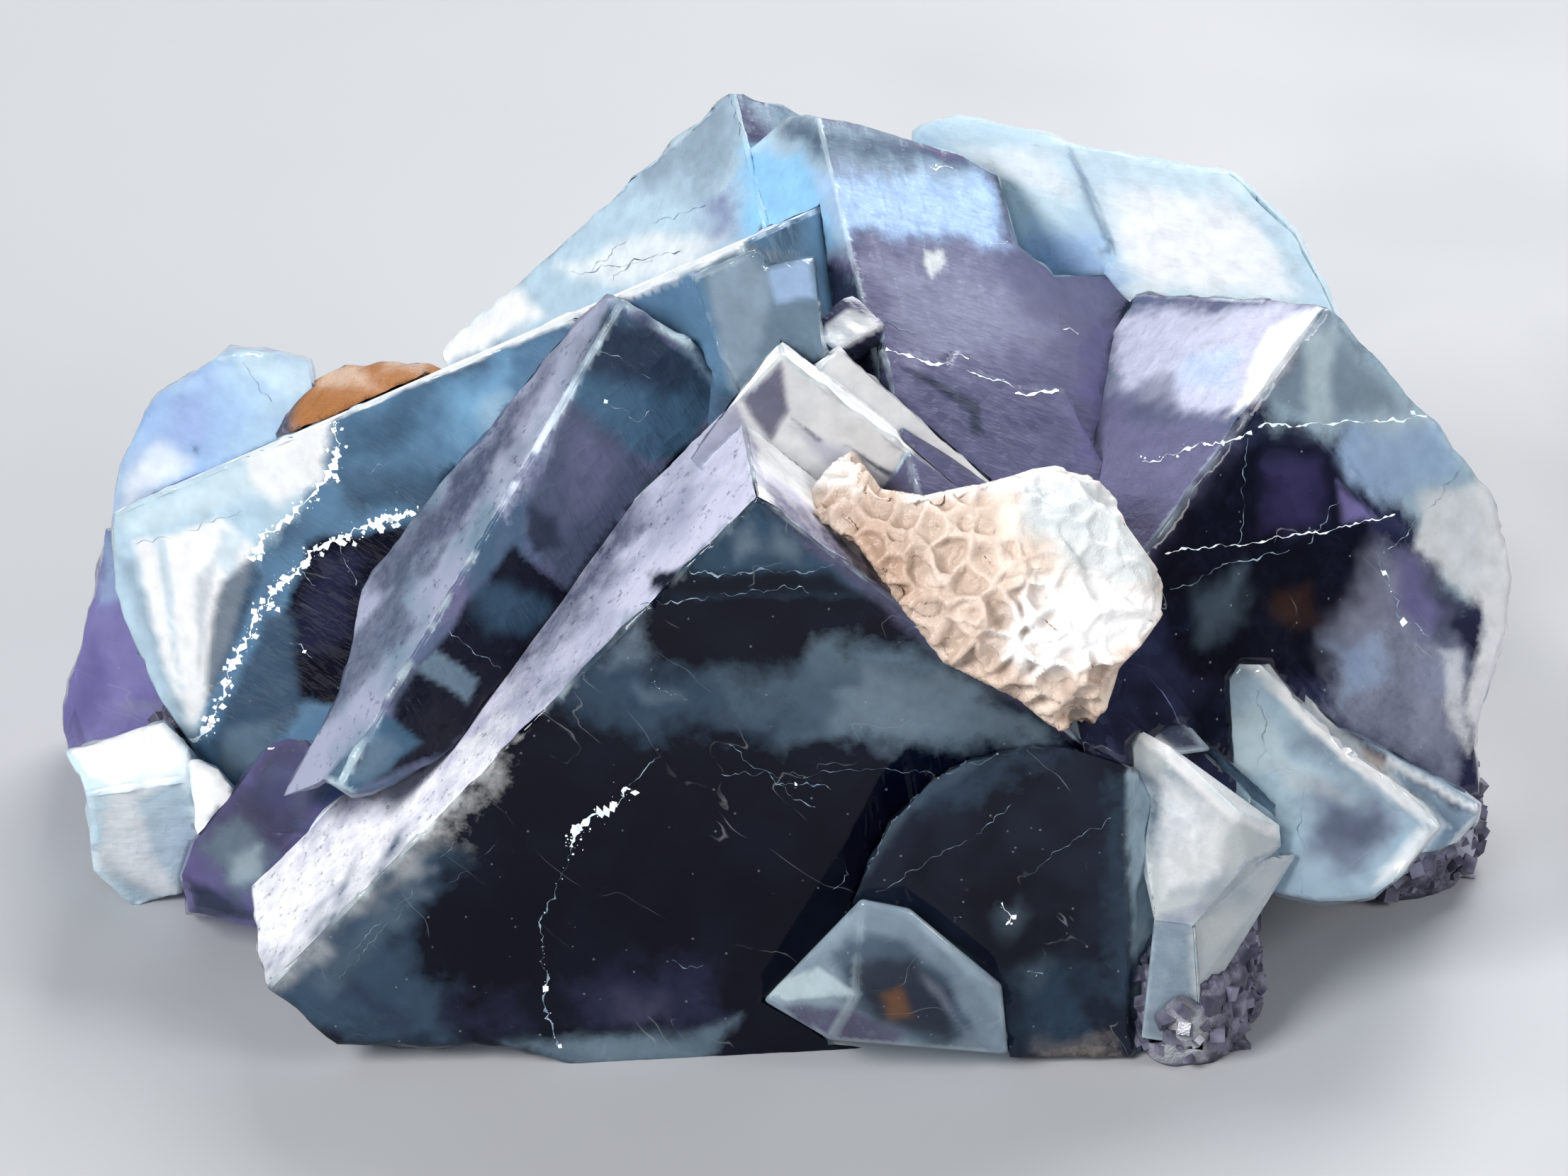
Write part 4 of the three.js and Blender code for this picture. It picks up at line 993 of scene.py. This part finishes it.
def round_edges(mesh, axes):
    """Rounds the edges between flat faces, and marks the faces of the roundings."""
    sharp = [
        edge for edge in mesh.edges
        if len(edge.link_faces) == 2 and edge.calc_face_angle(0) > SHARP
        and all(side_of(face, axes) < BROKEN for face in edge.link_faces)
    ]
    painted_edge_highlight = mesh.faces.layers.int.new("painted_edge_highlight")
    rounded = bmesh.ops.bevel(
        mesh, geom=sharp, offset=settings().edge_round, segments=2, profile=0.6,
        affect="EDGES", clamp_overlap=True,
    )
    for face in rounded["faces"]:
        face[painted_edge_highlight] = 1
    mesh.normal_update()


def mark_sides(mesh, axes):
    """Gives each face its side's finish, and marks each corner of a rounding for the painted
    highlight.
    """
    painted_edge_highlight = mesh.faces.layers.int["painted_edge_highlight"]
    rim = mesh.verts.layers.float.new("rim")
    for face in mesh.faces:
        face.material_index = side_of(face, axes)
        if face[painted_edge_highlight]:
            for vert in face.verts:
                vert[rim] = 1.0


def make_crystal(name):
    """One crystal: flat faces with rounded edges, and rough broken sides."""
    values = settings()
    axes = AXES.get(name, [])
    mesh = merged_copy(name)
    round_edges(mesh, axes)

    def longest(edge):
        seen_well = any(face.normal.dot(TO_EYE) > TOWARDS_EYE for face in edge.link_faces)
        return values.detail if seen_well else values.coarse

    finer(mesh, longest)
    mark_sides(mesh, axes)
    moved = {}
    for vert in mesh.verts:
        broken = sum(face.material_index == BROKEN for face in vert.link_faces)
        share = broken / max(1, len(vert.link_faces))
        reach = values.meet + share * values.fracture_depth * relief(vert.co, 2.6, 1.1)
        moved[vert] = vert.co + vert.normal * reach
    for vert, place in moved.items():
        vert.co = (place.x, place.y, max(0.0, place.z))
    own_axes = axes or [ACROSS, UPWARD, TO_EYE]
    materials = [
        crystal_material(f"{name}_{side}_{finish}", finish, own_axes)
        for side, finish in zip(SIDES, DRESSES[name])
    ]
    piece = new_object(f"{name}_dressed", mesh, materials)
    shade(piece)
    paint_zones_and_light(piece, ZONES_AND_PAINTED_LIGHT[name], rim=values.rim)
    finish_piece(piece, name)


# Fractures and painted step highlights, drawn on what the eye sees of a piece. Lengths are in
# millimetres.

RIBBON_STEP = 0.22
RIBBON_LIFT = 0.03
CRUMB_LIFT = 0.035
FAINT_WIDTH = 0.3


class Surface:
    """What the eye sees of a piece: where a point of the show side lies on it."""

    def __init__(self, piece):
        self.tree = BVHTree.FromObject(piece, bpy.context.evaluated_depsgraph_get())

    def at(self, u, v, lift):
        """The place on the surface, lifted along its normal by some millimetres."""
        way = (seen(u, v, 0) - EYE).normalized()
        place, normal, _, _ = self.tree.ray_cast(EYE, way)
        return None if place is None else place + normal * lift * MM


def wander(place, crumbly):
    """How far a white ribbon strays sideways from its line."""
    x, y = place
    slow = noise.noise(Vector((x, y, 3)) * 1.4) * 0.35
    return slow + noise.noise(Vector((x, y, 9)) * 5) * 0.12 * (1 + crumbly)


def ribbon_half(place, width, crumbly, rng):
    """Half the width of a white ribbon at a place, thin where it fades."""
    half = width * (0.1 + rng.random() ** 2 * (0.3 + 1.1 * crumbly)) / 2
    fade = noise.noise(Vector((place.x, place.y, 5)) * 1.1)
    return half * min(1, max(0.1, 1 - 2.4 * fade))


def white_ribbon_mesh(surface, lines, rng):
    """Uneven white ribbons along lines, with loose crumbs beside them."""
    mesh = bmesh.new()
    for width, crumbly, line in lines:
        points = [Vector(point) for point in line]
        previous = None
        for start, end in zip(points[:-1], points[1:]):
            way = end - start
            steps = max(1, round(way.length / RIBBON_STEP))
            aside = Vector((-way.y, way.x)).normalized()
            for i in range(steps + (end == points[-1])):
                middle = start + way * i / steps
                shift = wander(middle, crumbly)
                half = ribbon_half(middle, width, crumbly, rng)
                sides = [middle + aside * (shift + reach) for reach in (-half, half)]
                places = [surface.at(side.x, side.y, RIBBON_LIFT) for side in sides]
                if None in places:
                    previous = None
                    continue
                pair = [mesh.verts.new(place) for place in places]
                if previous:
                    face = mesh.faces.new([*previous, *reversed(pair)])
                    face.material_index = int(width < FAINT_WIDTH)
                previous = pair
                for _ in range(int(crumbly * width * 9 * rng.random() + crumbly * rng.random())):
                    away = middle + aside * (shift + rng.gauss(0, 0.55 * width))
                    crumb(mesh, surface, away, 0.03 + 0.3 * rng.random() ** 4, rng)
    return mesh


def crumb(mesh, surface, middle, size, rng):
    """A small flat flake on the surface."""
    turn = rng.uniform(0, math.tau)
    corners = []
    for i in range(4):
        reach = size * rng.uniform(0.5, 1.2)
        angle = turn + i * math.tau / 4
        place = surface.at(middle.x + reach * math.cos(angle),
                           middle.y + reach * math.sin(angle), CRUMB_LIFT)
        if place is None:
            return
        corners.append(place)
    mesh.faces.new([mesh.verts.new(place) for place in corners])


# Calcite: how far apart its pits and the finer ones in them lie, in millimetres.

PIT = 2.1
FINE_PIT = 0.8


def pit_floor(place, pit, slope):
    """How deep a place lies in the pits of an etched face: 0 on a wall and 1 on the floor."""
    near, _ = noise.voronoi(place / pit)
    return min(1, (near[1] - near[0]) * slope)


def etch(mesh):
    """Etches the calcite, most on its left part; returns how hollow each corner is."""
    hollow = []
    for vert in mesh.verts:
        place = vert.co / MM
        bend = noise.noise_vector(place / 1.1) * 0.12 * PIT
        wall = pit_floor(place + bend, PIT, 2.6)
        bowl = wall * wall * (3 - 2 * wall)
        small = pit_floor(place, FINE_PIT, 2)
        u, v = shown_at([vert.co])[0]
        etched = min(1, max(0, (18.5 - u - 0.6 * v) / 3 + 0.6 * noise.noise(place / 3)))
        depth = etched * (0.7 * bowl + 0.12 * small) + (1 - etched) * (0.22 * bowl + 0.2)
        vert.co -= vert.normal * (depth - 0.35) * MM
        hollow.append(etched * bowl * 0.8)
    return np.array(hollow)


# Druse: the heights it grows between and its smallest grain, in millimetres, and how many
# grains a square metre has at most.

DRUSE_FOOT = 0.8
DRUSE_TOP = 21
DRUSE_SMALLEST = 0.35
DRUSE_DENSITY = 2.4e6


def druse_tree(material):
    """Small cubes scattered over a surface, each turned and sized by chance."""
    tree = bpy.data.node_groups.new("Druse", "GeometryNodeTree")
    tree.interface.new_socket("Geometry", in_out="INPUT", socket_type="NodeSocketGeometry")
    for label in ("Spacing", "Largest", "Smallest"):
        tree.interface.new_socket(label, in_out="INPUT", socket_type="NodeSocketFloat")
    tree.interface.new_socket("Geometry", in_out="OUTPUT", socket_type="NodeSocketGeometry")
    given, result = tree.nodes.new("NodeGroupInput"), tree.nodes.new("NodeGroupOutput")
    height = node(tree, "ShaderNodeSeparateXYZ", {
        0: tree.nodes.new("GeometryNodeInputPosition").outputs[0],
    }).outputs["Z"]
    low = node(tree, "FunctionNodeCompare", {0: height, 1: DRUSE_FOOT * MM})
    high = node(tree, "FunctionNodeCompare", {0: DRUSE_TOP * MM, 1: height})
    between = node(tree, "FunctionNodeBooleanMath", {0: low.outputs[0], 1: high.outputs[0]})
    points = node(tree, "GeometryNodeDistributePointsOnFaces", {
        "Mesh": given.outputs["Geometry"], "Selection": between.outputs[0],
        "Distance Min": given.outputs["Spacing"], "Density Max": DRUSE_DENSITY, "Seed": 3,
    }, distribute_method="POISSON")
    cube = node(tree, "GeometryNodeMeshCube", {"Size": (1, 1, 1)})
    turn = node(tree, "FunctionNodeRandomValue", {
        "Min": (0, 0, 0), "Max": (math.tau, math.tau, math.tau), "Seed": 5,
    }, data_type="FLOAT_VECTOR")
    size = node(tree, "FunctionNodeRandomValue", {
        2: given.outputs["Smallest"], 3: given.outputs["Largest"], "Seed": 7,
    }, data_type="FLOAT")
    grains = node(tree, "GeometryNodeInstanceOnPoints", {
        "Points": points.outputs["Points"], "Instance": cube.outputs["Mesh"],
        "Rotation": turn.outputs[0], "Scale": size.outputs[1],
    })
    real = node(tree, "GeometryNodeRealizeInstances", {0: grains.outputs[0]})
    made = node(tree, "GeometryNodeSetMaterial", {0: real.outputs[0], "Material": material})
    link(tree, made.outputs[0], result.inputs["Geometry"])
    return tree


def grow_druse(rock):
    """The druse on the rock as a plain mesh of its own."""
    material = plain_material("druse_grains", "rock", "stone", 2.4, 0.16, 0.1)
    tree = druse_tree(material)
    piece = bpy.data.objects.new("druse", rock.data.copy())
    bpy.context.scene.collection.objects.link(piece)
    modifier = piece.modifiers.new("Druse", "NODES")
    modifier.node_group = tree
    sizes = {
        "Spacing": settings().druse_spacing, "Largest": settings().druse_size,
        "Smallest": DRUSE_SMALLEST * MM,
    }
    for item in tree.interface.items_tree:
        if item.name in sizes:
            modifier[item.identifier] = sizes[item.name]
    graph = bpy.context.evaluated_depsgraph_get()
    grown = bpy.data.meshes.new_from_object(piece.evaluated_get(graph))
    piece.modifiers.remove(modifier)
    piece.data = grown
    if not grown.vertices:
        raise RuntimeError("no druse grew on the matrix")
    for vert in grown.vertices:
        vert.co.z = max(0.0, vert.co.z)
    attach(piece, BODY)


# Operators


class Stage(bpy.types.Operator):
    """Set the floor, the lights and the camera"""

    bl_idname = "fluorite.stage"
    bl_label = "Stage"

    def execute(self, context):
        grid = bmesh.new()
        bmesh.ops.create_grid(grid, x_segments=1, y_segments=1, size=4)
        floor = new_object("floor", grid, [
            plain_material("pale_floor", "pale_stone", "pale_stone", 40, 0.6, 0.02),
        ])
        add_light("key_light", (-0.45, -0.5, 0.5), 0.35, 8.5)
        add_light("right_fill", (0.6, -0.35, 0.4), 0.4, 3.4)
        add_light("back_light", (0.2, 0.5, 0.5), 0.5, 6)
        world = bpy.data.worlds.new("soft_room")
        world.use_nodes = True
        background = world.node_tree.nodes["Background"]
        background.inputs["Color"].default_value = (0.8, 0.84, 0.9, 1)
        background.inputs["Strength"].default_value = 0.17
        context.scene.world = world
        context.scene.view_settings.view_transform = "Standard"
        camera = bpy.data.objects.new("camera", bpy.data.cameras.new("camera"))
        camera.data.sensor_width = SENSOR
        camera.data.lens = SENSOR * EYE_DISTANCE / FRAME_WIDTH
        camera.data.clip_start = 0.01
        camera.location = EYE
        camera.rotation_euler = (math.pi / 2 - RISE, 0, 0)
        context.scene.collection.objects.link(camera)
        context.scene.camera = camera
        return {"FINISHED"}


def add_light(name, place, size, power):
    """A large soft light that looks at the middle of the cluster."""
    lamp = bpy.data.lights.new(name, "AREA")
    lamp.shape = "DISK"
    lamp.size = size
    lamp.energy = power
    light = bpy.data.objects.new(name, lamp)
    light.location = place
    aim = Vector((0, 0, 0.02)) - Vector(place)
    light.rotation_euler = aim.to_track_quat("-Z", "Y").to_euler()
    bpy.context.scene.collection.objects.link(light)


class Crystals(bpy.types.Operator):
    """Make every crystal from its node, with zoned colours and rounded edges"""

    bl_idname = "fluorite.crystals"
    bl_label = "Crystals"

    def execute(self, context):
        for name in DRESSES:
            make_crystal(name)
        return {"FINISHED"}


class Fractures(bpy.types.Operator):
    """Draw the white healed fractures on the crystals, and the painted highlights on step tops"""

    bl_idname = "fluorite.fractures"
    bl_label = "Fractures"

    def execute(self, context):
        rng = random.Random(5)
        finishes = [
            plain_material("ribbon_white", "white", "mint", 0.8, 0.45, 0.3),
            plain_material("ribbon_faint", "haze", "slate", 1.6, 0.4, 0.3),
        ]
        context.view_layer.update()
        for name, lines in FRACTURES_AND_STEP_HIGHLIGHTS.items():
            surface = Surface(bpy.data.objects[f"{name}_dressed"])
            mesh = white_ribbon_mesh(surface, lines, rng)
            if not mesh.faces:
                raise RuntimeError(f"no fracture of {name} lies on it")
            piece = new_object(f"{name}_white_ribbons", mesh, finishes)
            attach(piece, BODY)
        return {"FINISHED"}


class Calcite(bpy.types.Operator):
    """Make the etched calcite on the front crystal's shoulder"""

    bl_idname = "fluorite.calcite"
    bl_label = "Calcite"

    def execute(self, context):
        mesh = merged_copy("calcite")
        finer(mesh, lambda edge: 0.3 * MM)
        hollow = etch(mesh)
        piece = new_object("calcite_dressed", mesh, [
            plain_material("calcite_etched", "sand", "cream", 5.0, 0.35, 0.4, zoned=True),
        ])
        shade(piece, 60)
        paint_zones_and_light(piece, ZONES_AND_PAINTED_LIGHT["calcite"], pits=hollow)
        finish_piece(piece, "calcite")
        return {"FINISHED"}


class MatrixRock(bpy.types.Operator):
    """Make the rough matrix and its druse"""

    bl_idname = "fluorite.matrix"
    bl_label = "Matrix"

    def execute(self, context):
        mesh = merged_copy("matrix")
        finer(mesh, lambda edge: 0.8 * MM)
        for vert in mesh.verts:
            vert.co += vert.normal * 0.3 * relief(vert.co, 1.6, 0.7) * MM
            vert.co.z = max(0.0, vert.co.z)
        piece = new_object("matrix_dressed", mesh, [
            plain_material("matrix_rock", "rock", "stone", 1.2, 0.6, 1.0, zoned=True),
        ])
        shade(piece, 40)
        paint_zones_and_light(piece, ZONES_AND_PAINTED_LIGHT["matrix"])
        finish_piece(piece, "matrix")
        grow_druse(piece)
        return {"FINISHED"}


class ClusterPanel(bpy.types.Panel):
    """Lists the steps, the settings and the colours"""

    bl_idname = "VIEW3D_PT_fluorite"
    bl_label = "Fluorite cluster"
    bl_space_type = "VIEW_3D"
    bl_region_type = "UI"
    bl_category = "Fluorite"

    def draw(self, context):
        for step in STEPS:
            self.layout.operator(step.bl_idname)
        for group in (settings(), context.scene.fluorite_colours):
            for name in type(group).__annotations__:
                self.layout.prop(group, name)


STEPS = [Stage, Crystals, Fractures, Calcite, MatrixRock]
CLASSES = [ClusterSettings, ClusterColours, ClusterPanel, *STEPS]


def register():
    for cls in CLASSES:
        bpy.utils.register_class(cls)
    bpy.types.Scene.fluorite_cluster = bpy.props.PointerProperty(type=ClusterSettings)
    bpy.types.Scene.fluorite_colours = bpy.props.PointerProperty(type=ClusterColours)


def unregister():
    del bpy.types.Scene.fluorite_colours
    del bpy.types.Scene.fluorite_cluster
    for cls in reversed(CLASSES):
        bpy.utils.unregister_class(cls)


def main():
    """Builds everything."""
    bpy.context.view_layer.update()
    register()
    for step in STEPS:
        group, name = step.bl_idname.split(".")
        getattr(getattr(bpy.ops, group), name)()


if __name__ == "__main__":
    main()
